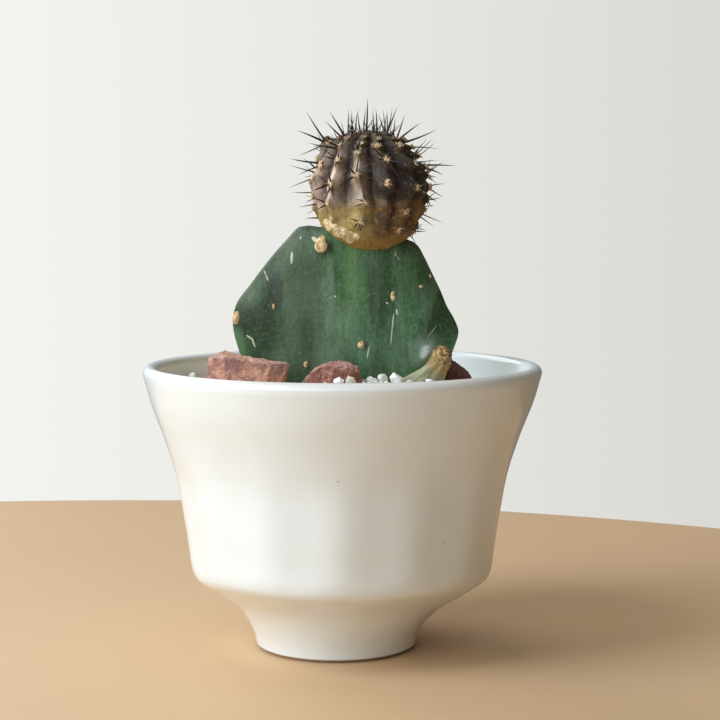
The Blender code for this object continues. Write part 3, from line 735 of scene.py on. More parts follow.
def pull_to_slice(point):
    height = point.z / MM
    left, right = pad_width(height)
    x, y = (left + right) / 2, 0.0
    if math.hypot(point.x, point.y) > 0.5:  # else it is the middle of an end cap
        turn = math.atan2(point.y, point.x)
        x += math.copysign(abs(math.cos(turn)) ** EDGE_CROWD, math.cos(turn)) * (right - left) / 2
        if abs(math.sin(turn)) > 1e-4:
            y = math.copysign(pad_face(x, height, math.sin(turn) < 0), math.sin(turn))
    return Vector((x, PAD_Y + y, height + pad_slope(height) * (x - PAD_MIDDLE_X))) * MM


edit(pad, slice_level)
move_points(pad, pull_to_slice)
edit(pad, clean_shell)
modify(pad, "SMOOTH", factor=0.5, iterations=2)
print(len(pad.data.polygons), "faces of the joint")

# %% [markdown]
# ## Waxy green skin
# The skin is deep green under a thin bluish bloom, paler where the bloom is thick, with spots of fresher
# green. Painted shade darkens the hollows between the ribs and the facet at the right, painted light
# brightens the crest along the middle, and painted highlights lie on the left edge and by the stump. The
# left half is a darker, duller green.

# %% Skin of the joint
skin = Finish("waxy_skin", 0.5)
x, y, z = skin.axes()


def patch(x, z, middle, half, ragged=None):
    """A soft oval spot, 1 at its middle, read across the flat faces. Middle and half sizes are in mm."""
    parts = []
    for value, centre, size in zip((x, z), middle, half):
        off = skin.times(skin.less(value, centre * MM), 1 / (size * MM))
        parts.append(skin.times(off, off))
    away = skin.plus(*parts)
    if ragged is not None:
        away = skin.plus(away, skin.times(skin.less(ragged, 0.5), 1.6))
    return skin.span(away, 0.15, 1.5, 1.0, 0.0)


def leaning(height, lean):
    """Across the joint, from an upright line that leans to the right above a height in mm."""
    return skin.less(x, skin.times(skin.less(z, height * MM), lean))


mottle = skin.noise(7 * MM, detail=6, roughness=0.62)
fine = skin.noise(1.0 * MM, detail=5, roughness=0.65)
streaks = skin.noise(2.6 * MM, detail=4, roughness=0.6, vector=skin.stretch(1.0, 1.0, 0.14))
skin.colour = skin.mix(skin.span(mottle, 0.32, 0.66), paint(54, 86, 50), paint(78, 114, 77))
skin.lay(skin.span(streaks, 0.46, 0.66), paint(104, 130, 104), 0.5)
skin.lay(skin.span(streaks, 0.48, 0.36), paint(42, 70, 38), 0.3)

# %% Patches of the joint's skin
BLOOM_AND_HIGHLIGHT_SPOTS = [  # middle, half sizes in mm and strength of the pale bluish bloom and painted highlights
    ((-11.8, 92.0), (4.4, 15.0), 0.8), ((-12.0, 110.0), (4.5, 5.0), 0.5), ((-4.0, 99.0), (1.8, 12.0), 0.4),
    ((-1.0, 87.0), (5.5, 9.0), 0.35), ((-25.5, 97.0), (3.0, 3.4), 0.45), ((13.0, 85.0), (3.0, 8.0), 0.2),
    ((23.5, 96.0), (2.2, 6.0), 0.3), ((21.8, 82.4), (3.6, 4.8), 0.6), ((24.6, 86.4), (1.4, 3.0), 0.35),
    ((-9.0, 79.0), (9.0, 6.5), 0.45), ((-18.0, 80.0), (3.0, 4.0), 0.35),
]
PAINTED_SHADE_SPOTS = [  # the same for painted shade in the hollows and on facets turned from the light, and painted shadows by warts
    ((-25.9, 91.2), (2.8, 4.6), 0.9), ((-19.4, 99.0), (3.2, 7.0), 0.8), ((-20.5, 88.0), (3.0, 6.0), 0.6),
    ((-9.5, 86.5), (2.0, 7.0), 0.45), ((-5.5, 107.0), (1.6, 5.0), 0.55), ((7.0, 106.0), (5.0, 4.0), 0.3),
    ((9.5, 97.0), (3.4, 8.0), 0.4), ((-3.3, 110.9), (1.1, 2.1), 0.85), ((6.5, 84.2), (0.9, 1.3), 0.7),
    ((9.0, 78.5), (4.0, 4.0), 0.35), ((19.0, 110.5), (3.0, 3.0), 0.4),
]
FRESH = [  # and for spots of fresh green skin
    ((-5.2, 106.2), (1.7, 2.2), 0.6), ((3.9, 109.0), (2.4, 2.0), 0.5), ((-21.3, 100.1), (0.9, 3.2), 0.45),
    ((-14.5, 84.0), (1.2, 5.0), 0.3), ((17.5, 92.0), (1.4, 6.0), 0.3), ((5.2, 98.0), (1.2, 9.0), 0.35),
]
SPOTS = ((paint(122, 144, 118), BLOOM_AND_HIGHLIGHT_SPOTS), (paint(42, 52, 28), PAINTED_SHADE_SPOTS), (paint(66, 112, 46), FRESH))
for tint, spots in SPOTS:
    for middle, half, strength in spots:
        skin.lay(patch(x, z, middle, half, mottle), tint, strength)
left_half = skin.zone(x, -1, -9)  # the left half is a darker, duller green
skin.lay(left_half, paint(148, 152, 118), 0.85, "MULTIPLY")
# painted shade on the facet at the right, which faces away from the window
facet = skin.less(skin.less(x, skin.times(z, 0.31)), -4.5 * MM)
facet = skin.times(skin.zone(facet, -0.3, 0.9), skin.zone(z, 84, 90))
skin.lay(skin.times(facet, skin.zone(z, 102, 98)), paint(36, 54, 30), 0.6)
skin.lay(patch(x, z, (-29.2, 82.0), (2.6, 7.0), mottle), paint(98, 140, 92), 0.5)
# painted light along the crest in the middle of the face
crest = skin.plus(leaning(98, 0.066), skin.times(skin.less(mottle, 0.5), 3 * MM))
ridge = skin.times(skin.zone(crest, -2.4, 2.6), skin.zone(crest, 4.8, 2.9))
skin.lay(skin.times(ridge, skin.zone(z, 80, 90)), paint(108, 146, 90), 0.45)

# %% Specks, dried drops and sheen of the joint
skin.lay(skin.span(skin.cells(1.9 * MM), 0.06, 0.16, 1.0, 0.0), paint(150, 168, 144), 0.25)
specks = skin.times(skin.span(fine, 0.48, 0.68), skin.span(left_half, 0, 1, 0.34, 0.16))
skin.lay(specks, paint(118, 142, 118))
skin.lay(skin.span(fine, 0.46, 0.32), paint(42, 66, 42), 0.5)
DROPS, DROP_OUTER, DROP_INNER = ((21.9, 92.6), (19.6, 88.7), (19.1, 84.2)), (0.95, 1.35), (0.6, 0.95)
for place in DROPS:  # faint rings where water drops have dried
    ring = skin.less(patch(x, z, place, DROP_OUTER), patch(x, z, place, DROP_INNER))
    skin.lay(ring, paint(118, 146, 116), 0.7)
SHEEN = [  # middle, half sizes in mm, strength and colour of the window's light on the skin
    ((22.4, 82.8), (4.2, 5.0), 0.30, paint(128, 150, 136)),
    ((22.8, 83.0), (2.3, 3.4), 0.5, paint(172, 186, 180)),
    ((22.5, 82.2), (1.3, 2.1), 0.9, paint(226, 232, 230)),
]
streaky = skin.noise(3 * MM, detail=4, vector=skin.stretch(1.0, 1.0, 0.5))
leant = leaning(82.4, 0.3)
front = skin.zone(y, 0, -2)
for middle, half, strength, tint in SHEEN:
    glow = skin.times(skin.math("POWER", patch(leant, z, middle, half, streaky), 1.4), front)
    skin.lay(skin.times(glow, skin.span(fine, 0.35, 0.60, 0.6, 1.0)), tint, strength)
skin.put("Roughness", skin.span(patch(leant, z, (22.4, 82.4), (2.6, 3.6)), 0.0, 1.0, 0.52, 0.24))
skin.put("Specular IOR Level", 0.4)
skin.put("Specular Tint", (0.88, 0.94, 0.80, 1))
skin.put("Coat Weight", 0.05)
skin.put("Coat Roughness", 0.3)
skin.put("Subsurface Weight", 0.06)
skin.put("Subsurface Radius", (0.4 * MM, 1.0 * MM, 0.3 * MM))
skin.relief(skin.plus(skin.times(fine, 0.5), skin.plus(mottle, streaks)), 0.45 * MM, 0.7)
hand_over(pad, "green_joint", skin.done(), ["rootstock_pad"], 60)

# %% [markdown]
# ## Corky areoles, scars and the old stump
# Spines once grew from pads of wool on the joint. Only dry corky warts are left of them, with a few pale
# scars and the stump of a cut side joint low on the right. A wart is one roughened ball, copied to each
# place where the camera sees one and turned to face out of the skin there. Two thin pale lines by the
# stump are painted highlights along the edges of the facet there.

# %% Warts and scars where the photo shows them


def seat_on(carrier, u, v):
    """The point and the outward normal of a piece where the camera sees it at pixel (u, v)."""
    hit, point, normal, _ = carrier.ray_cast(EYE, sight(u, v))
    if not hit:
        raise ValueError(f"nothing is seen at {u}, {v}")
    return point, normal


def facing(normal):
    """Turns Z to the normal, with Y as near to upright as it can be."""
    side = Vector((0, 0, 1)).cross(normal)
    side = side.normalized() if side.length > 0.1 else Vector((1, 0, 0))
    up = normal.cross(side)
    return Matrix((side, up, normal)).transposed()


def lumpy_ball(detail, seed, amount):
    """A ball of radius 1 with an uneven, finely broken surface."""
    bpy.ops.mesh.primitive_ico_sphere_add(subdivisions=detail, radius=1.0)
    ball = bpy.context.object
    bpy.context.view_layer.update()
    roughen(ball, "CLOUDS", 0.55 + 0.1 * (seed % 3), amount)
    roughen(ball, "VORONOI", 0.4, amount * 0.6, 0.3)
    return ball


def joined_nets(nets):
    """One mesh made of many nets of points and faces."""
    points, faces, count = [], [], 0
    for net_points, net_faces in nets:
        points.append(net_points)
        faces += [tuple(i + count for i in face) for face in net_faces]
        count += len(net_points)
    return mesh_piece(np.concatenate(points), faces)


def copies_joined(model, places):
    """One mesh with a copy of the model at each 4 by 4 matrix. The model is removed."""
    points, faces = net_of(model)
    bpy.data.objects.remove(model)
    matrices = [np.array(place) for place in places]
    return joined_nets([(points @ matrix[:3, :3].T + matrix[:3, 3], faces) for matrix in matrices])


def placed(point, turn, sizes):
    return Matrix.Translation(point) @ turn.to_4x4() @ Matrix.Diagonal((*sizes, 1))


WARTS = [  # pixel, half width, half height and thickness in mm
    (321.0, 246.0, 1.75, 1.9, 1.3), (321.7, 241.8, 1.3, 1.75, 1.25), (236.6, 318, 1.15, 1.85, 1.3),
    (361.2, 345, 0.95, 1.05, 1.1), (306.0, 364.6, 0.65, 0.85, 0.7), (393.0, 296.0, 0.65, 1.3, 0.4),
    (420.6, 286.5, 0.55, 0.45, 0.35), (430.0, 276.0, 0.4, 0.6, 0.35), (273.6, 306.5, 0.35, 0.8, 0.3),
]
BACK_WARTS = [(-14.0, 104.0), (14.0, 106.0), (0.5, 93.0), (-19.0, 86.0), (18.0, 85.5)]
BACK_WART = Vector((1.2, 1.5, 0.9)) * MM
BEHIND = 60  # mm behind the joint, from where the back ones are looked for
places = []
for u, v, half_width, half_height, thick in WARTS:
    point, normal = seat_on(pad, u, v)
    places.append(placed(point, facing(normal), (half_width * MM, half_height * MM, thick * MM)))
for x_mm, z_mm in BACK_WARTS:
    _, point, normal, _ = pad.ray_cast(Vector((x_mm, BEHIND, z_mm)) * MM, Vector((0, -1, 0)))
    places.append(placed(point, facing(normal), BACK_WART))
warts = copies_joined(lumpy_ball(4, 1, 0.2), places)

SCARS_AND_HIGHLIGHT_LINES = [  # start and end pixel, half width in mm
    (292.0, 253.0, 291.8, 262.5, 0.42), (264.2, 270.8, 268.0, 280.0, 0.26),
    (247.2, 335.8, 252.4, 339.2, 0.26), (252.2, 339.0, 255.0, 346.4, 0.3),
    (393.8, 313.8, 390.8, 343.4, 0.25), (369.5, 345.5, 367.2, 358.3, 0.18),
    (313.0, 238.0, 316.6, 241.0, 0.55), (398.4, 258.0, 398.6, 259.0, 0.2),
    (395.6, 252.9, 395.7, 255.3, 0.26), (396.6, 309.8, 397.6, 314.2, 0.3),
    (386.6, 302.8, 388.0, 303.4, 0.26), (335.0, 296.2, 335.8, 297.0, 0.22),
    # the last two are thin pale lines along the edges of the facet by the stump: painted highlights
    (301.0, 237.0, 300.6, 238.6, 0.24), (421.0, 351.5, 432.5, 335.5, 0.09),
    (427.5, 337.5, 436.5, 325.5, 0.07),
]
SCAR_THICKNESS = 0.16 * MM
scar_places = []
for u0, v0, u1, v1, half_width in SCARS_AND_HIGHLIGHT_LINES:
    start, normal = seat_on(pad, u0, v0)
    end, _ = seat_on(pad, u1, v1)
    along = (end - start).normalized()
    side = along.cross(normal).normalized()
    turn = Matrix((side, along, side.cross(along))).transposed()
    length = (end - start).length / 2 + half_width * MM
    scar_places.append(placed((start + end) / 2, turn, (half_width * MM, length, SCAR_THICKNESS)))
scars = copies_joined(lumpy_ball(3, 2, 0.15), scar_places)
print(len(places), "warts and", len(scar_places), "scars")

# %% [markdown]
# The stump is a ridged neck that leans out of the joint and ends in a ringed corky knob.

# %% Stump of the cut side joint
STUMP_PATH = [((15.5, -4.6, 67.5), 5.6), ((18.6, -5.4, 70.6), 5.2), ((21.6, -6.0, 73.2), 4.4),
              ((24.2, -6.5, 75.6), 3.6), ((25.8, -6.8, 78.0), 3.0), ((26.7, -6.8, 80.2), 2.5)]


def ring_quads(rings, sides, start=0):
    """Faces between neighbouring rings of points, counted from start."""
    quads = []
    for ring in range(start, start + (rings - 1) * sides, sides):
        for side in range(sides):
            after = (side + 1) % sides
            quads.append((ring + side, ring + after, ring + after + sides, ring + side + sides))
    return quads


def ribbed_tube(path, sides, ridges, depth, rows):
    """A closed tube round a smooth line of (place, radius) in mm, with ridges along it."""
    ways = ways_along([place for place, _ in path])
    columns = [[(w, p[k]) for w, (p, _) in zip(ways, path)] for k in range(3)]
    widths = [(w, r) for w, (_, r) in zip(ways, path)]
    centres = [Vector([curve_value(c, ways[-1] * i / rows) for c in columns]) for i in range(rows + 1)]
    points, strands = [], []
    for i, centre in enumerate(centres):
        along = (centres[min(i + 1, rows)] - centres[max(i - 1, 0)]).normalized()
        turn = facing(along)
        radius = curve_value(widths, ways[-1] * i / rows)
        for j in range(sides):
            angle = 2 * math.pi * j / sides
            ridge = math.cos(ridges * angle + 0.8 * math.sin(i * 0.35))
            bulge = 1 + depth * ridge + 0.4 * depth * math.cos(3 * angle + i * 0.5)
            spoke = Vector((math.cos(angle), math.sin(angle), 0))
            points.append((centre + turn @ spoke * radius * bulge) * MM)
            strands.append(0.5 + 0.7 * noise.noise(spoke * 3.2 + Vector((0, 0, i * 0.06))))
    caps = [tuple(range(sides))[::-1], tuple(range(rows * sides, (rows + 1) * sides))]
    tube = mesh_piece(points, ring_quads(rows + 1, sides) + caps)
    store_note(tube, "strand", strands)
    return tube


def ring_the_knob(point):
    """Shallow rings round the knob, as the cork grew."""
    stretch = 1 + KNOB_RINGS * math.sin(14 * point.z)
    width = 1 + KNOB_RINGS * math.sin(17 * point.z + 2 * point.x)
    return Vector((point.x, point.y, point.z * stretch)) * width


NECK_SIDES, NECK_ROWS, NECK_RIDGES, RIDGE_HEIGHT, KNOB_RINGS = 90, 30, 9, 0.04, 0.05
neck = ribbed_tube(STUMP_PATH, NECK_SIDES, NECK_RIDGES, RIDGE_HEIGHT, NECK_ROWS)
knob = lumpy_ball(5, 0, 0.22)
move_points(knob, ring_the_knob)
KNOB_MIDDLE, KNOB_SIZES, KNOB_TILT = Vector((27.1, -7.0, 80.5)), Vector((2.75, 2.5, 3.6)), math.radians(4)
knob.matrix_world = placed(KNOB_MIDDLE * MM, Matrix.Rotation(KNOB_TILT, 3, "Y"), KNOB_SIZES * MM)

# %% [markdown]
# Cork is a dry tan crust, with painted shade in its cracks. Scars are smooth and pale. The neck fades from
# pale grey green, streaked along its ridges, to brown bark under the knob.

# %% Cork, scar and stump finishes


def cork_finish(name, light, body, dark, size):
    cork = Finish(name, 0.85)
    crumbs = cork.noise(size, detail=5, roughness=0.65)
    cork.colour = cork.mix(cork.span(crumbs, 0.35, 0.62), paint(*dark), paint(*body))
    cork.lay(cork.span(cork.noise(size * 0.6, detail=3), 0.52, 0.7), paint(*light))
    # painted shade in the cracks
    cork.lay(cork.span(cork.pointiness(), 0.48, 0.40), paint(*dark))
    cork.relief(crumbs, 0.25 * MM)
    return cork.done()


wart_cork = cork_finish("pale_cork", (252, 240, 212), (238, 206, 154), (172, 124, 70), 1.3 * MM)
knob_cork = cork_finish("knob_cork", (222, 192, 144), (176, 138, 82), (84, 56, 22), 1.2 * MM)
scar = Finish("pale_scar_and_highlight", 0.6)
scar.colour = scar.mix(scar.noise(0.8 * MM), paint(158, 168, 136), paint(214, 210, 184))

bark = Finish("stump_skin", 0.6)
strands = bark.note("strand")
bark.colour = bark.mix(bark.span(strands, 0.30, 0.75), paint(112, 112, 78), paint(160, 160, 122))
x, _, z = bark.axes()
bark.lay(bark.zone(bark.plus(x, z), 99.5, 104.5), paint(150, 122, 66))
bark.lay(bark.span(bark.noise(1.6 * MM), 0.52, 0.72), paint(150, 140, 100), 0.6)
bark.put("Subsurface Weight", 0.1)
bark.put("Subsurface Radius", (1.0 * MM, 1.0 * MM, 0.4 * MM))
bark.relief(strands, 0.3 * MM)
for piece, name, finish in (
    (warts, "joint_areoles", wart_cork), (scars, "joint_scars_and_highlights", scar.done()),
    (neck, "stump_neck", bark.done()), (knob, "stump_knob", knob_cork),
):
    hand_over(piece, name, finish, ["rootstock_pad"], 60)

# %% [markdown]
# ## Pumice grit
# The grit is a layer of loose angular grains of white pumice, 2.5 to 3 mm across, banked up against the
# stones. The solid carries a relief of grains in a jittered honeycomb. Its rule is repeated here, so that
# every crushed grain lies on its own bump, and small crumbs fill the gaps over a smooth bed.

# %% Bed of the grit
GRIT_BASE, GRIT_EDGE, GRIT_MOUND, MOUND_REACH = 65.1, 70.2, 2.8, 48.0
HEAPS = [(9.0, -14.0, 15.0, 7.0, 2.3), (-1.0, -23.0, 8.0, 5.0, 3.0), (-41.0, 17.0, 8.0, 8.0, 2.4)]
BED_RADIUS, BED_DEPTH, BED_TAPER = 49.6, 4, 0.97
BED_DROP = 1.2  # the bed lies this far below the tops of the grains
BED_RINGS, RING_WIDTH = 20, 2.4


def grit_height(x, y):
    """Mean height of the grit in mm: a low mound with a few heaps."""
    height = GRIT_EDGE + GRIT_MOUND * (1 - smooth_step(0.25, 1.0, math.hypot(x, y) / MOUND_REACH))
    return height + sum(h * math.exp(-((x - a) / w) ** 2 - ((y - b) / d) ** 2) for a, b, w, d, h in HEAPS)


def ring_the_top():
    """Insets the top again and again, so that it can be bent to the mound."""
    bpy.ops.mesh.select_all(action="DESELECT")
    bpy.ops.object.mode_set(mode="OBJECT")
    for face in bpy.context.object.data.polygons:
        face.select = face.normal.z > 0.9
    bpy.ops.object.mode_set(mode="EDIT")
    for _ in range(BED_RINGS):
        bpy.ops.mesh.inset(thickness=RING_WIDTH * MM)


BED_MIDDLE = Vector((0, 0, GRIT_BASE + BED_DEPTH / 2)) * MM
bpy.ops.mesh.primitive_cylinder_add(
    vertices=120, radius=BED_RADIUS * MM, depth=BED_DEPTH * MM, location=BED_MIDDLE
)
bed = bpy.context.object
bpy.ops.object.transform_apply(location=True)
edit(bed, ring_the_top)


def lay_bed(point):
    x, y = point.x / MM, point.y / MM
    if point.z / MM < GRIT_BASE + 1:
        return Vector((point.x * BED_TAPER, point.y * BED_TAPER, point.z))
    return Vector((point.x, point.y, (grit_height(x, y) - BED_DROP) * MM))


move_points(bed, lay_bed)

# %% Eight crushed grains
draw = random.Random(7)
GRAIN_KINDS, GRAIN_CUTS = 8, 5


def crushed_grain():
    bpy.ops.mesh.primitive_ico_sphere_add(subdivisions=1, radius=1.06)
    grain = bpy.context.object
    cuts = []
    for _ in range(GRAIN_CUTS):
        way = Vector([draw.uniform(-1, 1) for _ in range(3)]).normalized()
        cuts.append((way, draw.uniform(0.40, 0.78)))
    edit(grain, lambda: strike_faces(cuts))
    move_points(grain, lambda p: p * draw.uniform(0.92, 1.08))
    return grain


grain_models = []
for _ in range(GRAIN_KINDS):
    grain = crushed_grain()
    grain_models.append(net_of(grain))
    print("grain of", len(grain.data.polygons), "faces")
    bpy.data.objects.remove(grain)

# %% Places for the grains
GRAIN_SPACING, GRAIN_RELIEF, GRIT_SEED = 3.0 * MM, 1.5, 11
GRIT_REACH = float(np.interp(GRIT_EDGE, [66.0, 72.0], [48.9, 50.8])) * MM - 0.5 * MM
SEEN_GRAINS = [  # pixel, depth plane y and half width in mm
    (338.6, 383.0, -22.5, 1.6), (349.6, 382.4, -22.5, 1.65), (371.2, 381.2, -12.5, 1.75),
    (382.6, 379.4, -12.0, 1.75), (390.6, 381.8, -13.0, 1.2), (397.4, 379.0, -12.2, 1.75),
    (409.6, 383.4, -14.5, 1.6), (430.2, 382.6, -14.5, 1.6), (192.0, 376.4, 19.5, 1.2),
]
GRAIN_SINK = 0.8  # a grain's middle lies this many half sizes below its top


def solid_grains():
    """Place and top of every bump of the solid's relief, drawn by the same rule, then the gaps between."""
    seeded = random.Random(GRIT_SEED)
    row_step = GRAIN_SPACING * math.sqrt(3) / 2
    rows, columns = int(GRIT_REACH / row_step), int(GRIT_REACH / GRAIN_SPACING) + 1
    tops, gaps = [], []
    for row in range(-rows, rows + 1):
        for column in range(-columns, columns + 1):
            middle = Vector(((column + 0.5 * (row % 2)) * GRAIN_SPACING, row * row_step))
            if middle.length < GRIT_REACH - 0.45 * GRAIN_SPACING:
                seeded.uniform(0, 2)
                stand = seeded.uniform(-0.1, 0.4)
                for _ in range(3):
                    seeded.uniform(0.20, 0.30)
                    stand += seeded.uniform(0.0, 0.2) / 3
                x, y = middle / MM
                tops.append((x, y, grit_height(x, y) + GRAIN_RELIEF * stand))
            for valley in (1, -1):
                corner = middle + Vector((0, valley)) * GRAIN_SPACING / math.sqrt(3)
                if corner.length < GRIT_REACH - 0.35 * GRAIN_SPACING:
                    shift = Vector((seeded.uniform(-0.15, 0.15), seeded.uniform(-0.15, 0.15))) * MM
                    gaps.append(tuple((corner + shift) / MM))
    return tops, gaps


def depth_inside(carrier, point):
    """How deep a point lies in a closed piece, negative outside. From inside, a ray up meets a top face."""
    _, nearest, _, _ = carrier.closest_point_on_mesh(point)
    hit, _, normal, _ = carrier.ray_cast(point, Vector((0, 0, 1)))
    return (nearest - point).length * (1 if hit and normal.z > 0 else -1)


bpy.context.view_layer.update()
obstacles = [pad, neck] + [stone for stone, _ in stones]
grain_tops, grain_gaps = solid_grains()
grains = []
for x, y, top in grain_tops:
    half = draw.uniform(1.35, 1.65)
    x, y = x + draw.uniform(-0.15, 0.15), y + draw.uniform(-0.15, 0.15)
    grains.append((x, y, top + 0.1 - GRAIN_SINK * half, half))
for x, y in grain_gaps[::2]:
    half = draw.uniform(0.7, 1.0)
    grains.append((x, y, grit_height(x, y) - 0.2 - GRAIN_SINK * half, half))
free = [
    grain for grain in grains
    if all(depth_inside(piece, Vector(grain[:3]) * MM) < -0.45 * grain[3] * MM for piece in obstacles)
]
for u, v, y, half in SEEN_GRAINS:
    point = seen_at(u, v, y * MM) / MM
    free = [g for g in free if math.dist(g[:3], point) > (g[3] + half) * 0.75]
    free.append((*point, half))
print(len(free), "grains")

# %% Copy the grains into one piece
nets, tones = [], []
for x, y, z, half in free:
    shape, shape_faces = grain_models[draw.randrange(GRAIN_KINDS)]
    sizes = [half * draw.uniform(0.85, 1.2) for _ in range(3)]
    turn = Matrix.Rotation(draw.uniform(0, 6.28), 3, "Z") @ Matrix.Rotation(draw.uniform(0, 6.28), 3, "X")
    spun = (shape * sizes) @ np.array(turn).T
    nets.append(((spun + np.array((x, y, z))) * MM, shape_faces))
    tones += [draw.random()] * len(shape)
grit = joined_nets(nets)
store_note(grit, "tone", tones)
print(len(grit.data.polygons), "faces of grains")

# %% [markdown]
# Pumice is chalky white to cream. Some grains are greyer, and small dark crystals speckle them.

# %% Pumice finish
pumice = Finish("white_pumice", 0.92)
greyer = pumice.span(pumice.note("tone"), 0.6, 1.0)
pumice.colour = pumice.mix(greyer, paint(250, 248, 240), paint(232, 226, 208))
pumice.lay(pumice.span(pumice.noise(1.3 * MM), 0.60, 0.78), paint(226, 221, 205))
pumice.lay(pumice.span(pumice.cells(1.1 * MM), 0.05, 0.12, 1.0, 0.0), paint(96, 88, 76), 0.7)
pumice.relief(pumice.noise(0.6 * MM, detail=4), 0.2 * MM)
hand_over(bed, "grit_bed", pumice.done(), ["pumice_grit"], 30)
hand_over(grit, "pumice_grains", pumice.material, ["pumice_grit"], 32)

# %% [markdown]
# ## The copiapoa
# The globe has 13 ribs that swell under each areole. A UV sphere gives the net of points: its circles of
# latitude become steps down the ribs, and each point is pulled to the ribbed form. Where the camera sees
# an areole, the rib bends to pass through it. The other ribs follow the plant's own spiral rule. One full
# shoulder and one small notch on the outline, which the solid leaves out, are pushed in last.

# %% Outline of the globe, in mm
GLOBE_X, GLOBE_Y, GLOBE_BASE = 7.4, -0.5, 109.5
GLOBE_TURN = math.radians(-9)
RIBS, RIB_DEPTH, TUBERCLE = 13, 2.7, 0.9
CALM_RIBS, CALM = (9, 10, 11, 12), 0.4  # on the window's side the ribs are nearly even
RIB_STEP = 2 * math.pi / RIBS
GLOBE_HEART = Vector((GLOBE_X, GLOBE_Y, 126.0))
BUMPS = [  # pixel on the outline, reach and height in mm: the full shoulder and the notch
    (328.4, 147.2, 2.5, 2.4), (417.5, 150.5, 2.4, -2.0),
]
bump_spots = [(seen_at(u, v, GLOBE_Y * MM) / MM, reach, height) for u, v, reach, height in BUMPS]
GLOBE_PROFILE = [  # height over its base and radius over the ribs
    (0.0, 4.6), (0.9, 6.6), (1.7, 8.0), (2.9, 9.7), (4.3, 11.3), (5.7, 12.5), (7.1, 13.4), (10.0, 14.4),
    (14.0, 15.7), (17.7, 16.2), (22.0, 15.4), (26.0, 13.6), (29.1, 11.2), (31.3, 8.0), (32.5, 4.6),
    (32.7, 2.0),
]
outline = [(r, GLOBE_BASE + h) for h, r in reversed(GLOBE_PROFILE)]
ways = ways_along(outline)
RADIUS_AT = [(w, r) for w, (r, _) in zip(ways, outline)]
HEIGHT_AT = [(w, z) for w, (_, z) in zip(ways, outline)]
GLOBE_WAY = ways[-1]


def on_globe(u, v):
    """The turn round the axis and the way from the crown where the smooth globe is seen at a pixel."""
    steps = np.arange(410, 470, 0.1)[:, None] * np.array(sight(u, v))[None, :] + np.array(EYE / MM)
    away = np.hypot(steps[:, 0] - GLOBE_X, steps[:, 1] - GLOBE_Y)
    heights = [z for _, z in reversed(HEIGHT_AT)]
    gap = away - np.interp(steps[:, 2], heights, [r for _, r in reversed(RADIUS_AT)])
    first = int(np.argmax(gap <= 0)) if (gap <= 0).any() else int(np.argmin(gap))
    x, y, z = steps[first]
    way = float(np.interp(z, heights, [w for w, _ in reversed(HEIGHT_AT)]))
    return math.atan2(x - GLOBE_X, -(y - GLOBE_Y)), way


# %% Areoles of each rib
SEEN_AREOLES = {  # rib: pixels down the rib
    -2: [(323.0, 144.5), (321.9, 165.0), (311.5, 178.5), (312.5, 196.0)],
    -1: [(340.8, 145.4), (338.6, 159.6), (331.5, 184.3), (325.5, 203.4), (322.8, 218.3)],
    0: [(358.8, 152.2), (357.8, 174.6), (364.2, 202.8), (360.8, 222.6)],
    1: [(376.6, 146.0), (385.8, 159.0), (386.8, 183.5)],
    2: [(398.2, 144.8), (412.6, 163.0), (415.4, 187.8), (405.0, 211.6), (398.8, 230.5)],
    3: [(422.5, 166.0), (427.0, 187.5), (426.0, 210.2)],
}
MOST_BEND = 0.33  # a rib bends aside by at most this share of its width
YOUNG_GAP, OLD_GAP = 3.1, 7.0  # mm between areoles up and down the rib from those that are seen
rib_areoles = {}


def rule_way(step):
    """The way in mm from the crown to an areole that isn't seen, told by its number down the rib."""
    return 0.6 + 3.6 * step + 0.45 * step * step


for rib in range(RIBS):
    base_turn = GLOBE_TURN + RIB_STEP * rib
    seen = SEEN_AREOLES.get(rib, SEEN_AREOLES.get(rib - RIBS))
    if seen:
        knots = []
        for u, v in seen:
            turn, way = on_globe(u, v)
            off = (turn - base_turn + math.pi) % (2 * math.pi) - math.pi
            knots.append((way, max(-MOST_BEND, min(MOST_BEND, off / RIB_STEP)) * RIB_STEP))
        while knots[0][0] > 4.2:
            knots.insert(0, (knots[0][0] - YOUNG_GAP, knots[0][1] * 0.5))
        if len(seen) < 4:
            while knots[-1][0] < GLOBE_WAY - 12:
                knots.append((knots[-1][0] + OLD_GAP, knots[-1][1] * 0.5))
    else:
        knots, step = [], (5 * rib / RIBS) % 1.0
        while rule_way(step) < GLOBE_WAY - 4.5:
            knots.append((rule_way(step), 0.0))
            step += 1.0
    rib_areoles[rib] = knots


def crest_turn(rib, way):
    """Where round the axis the crest of a rib runs. Rib may count past a full round."""
    knots = rib_areoles[rib % RIBS]
    marks = [0.0] + [w for w, _ in knots] + [GLOBE_WAY]
    return GLOBE_TURN + RIB_STEP * rib + float(np.interp(way, marks, [0.0] + [t for _, t in knots] + [0.0]))


def swelling(rib, way):
    """1 at an areole and -1 halfway between two."""
    marks = [w for w, _ in rib_areoles[rib % RIBS]]
    if way < marks[0]:
        count = (way - marks[0]) / 4.0
    elif way > marks[-1]:
        count = (way - marks[-1]) / OLD_GAP
    else:
        count = float(np.interp(way, marks, range(len(marks))))
    return math.cos(2 * math.pi * count)


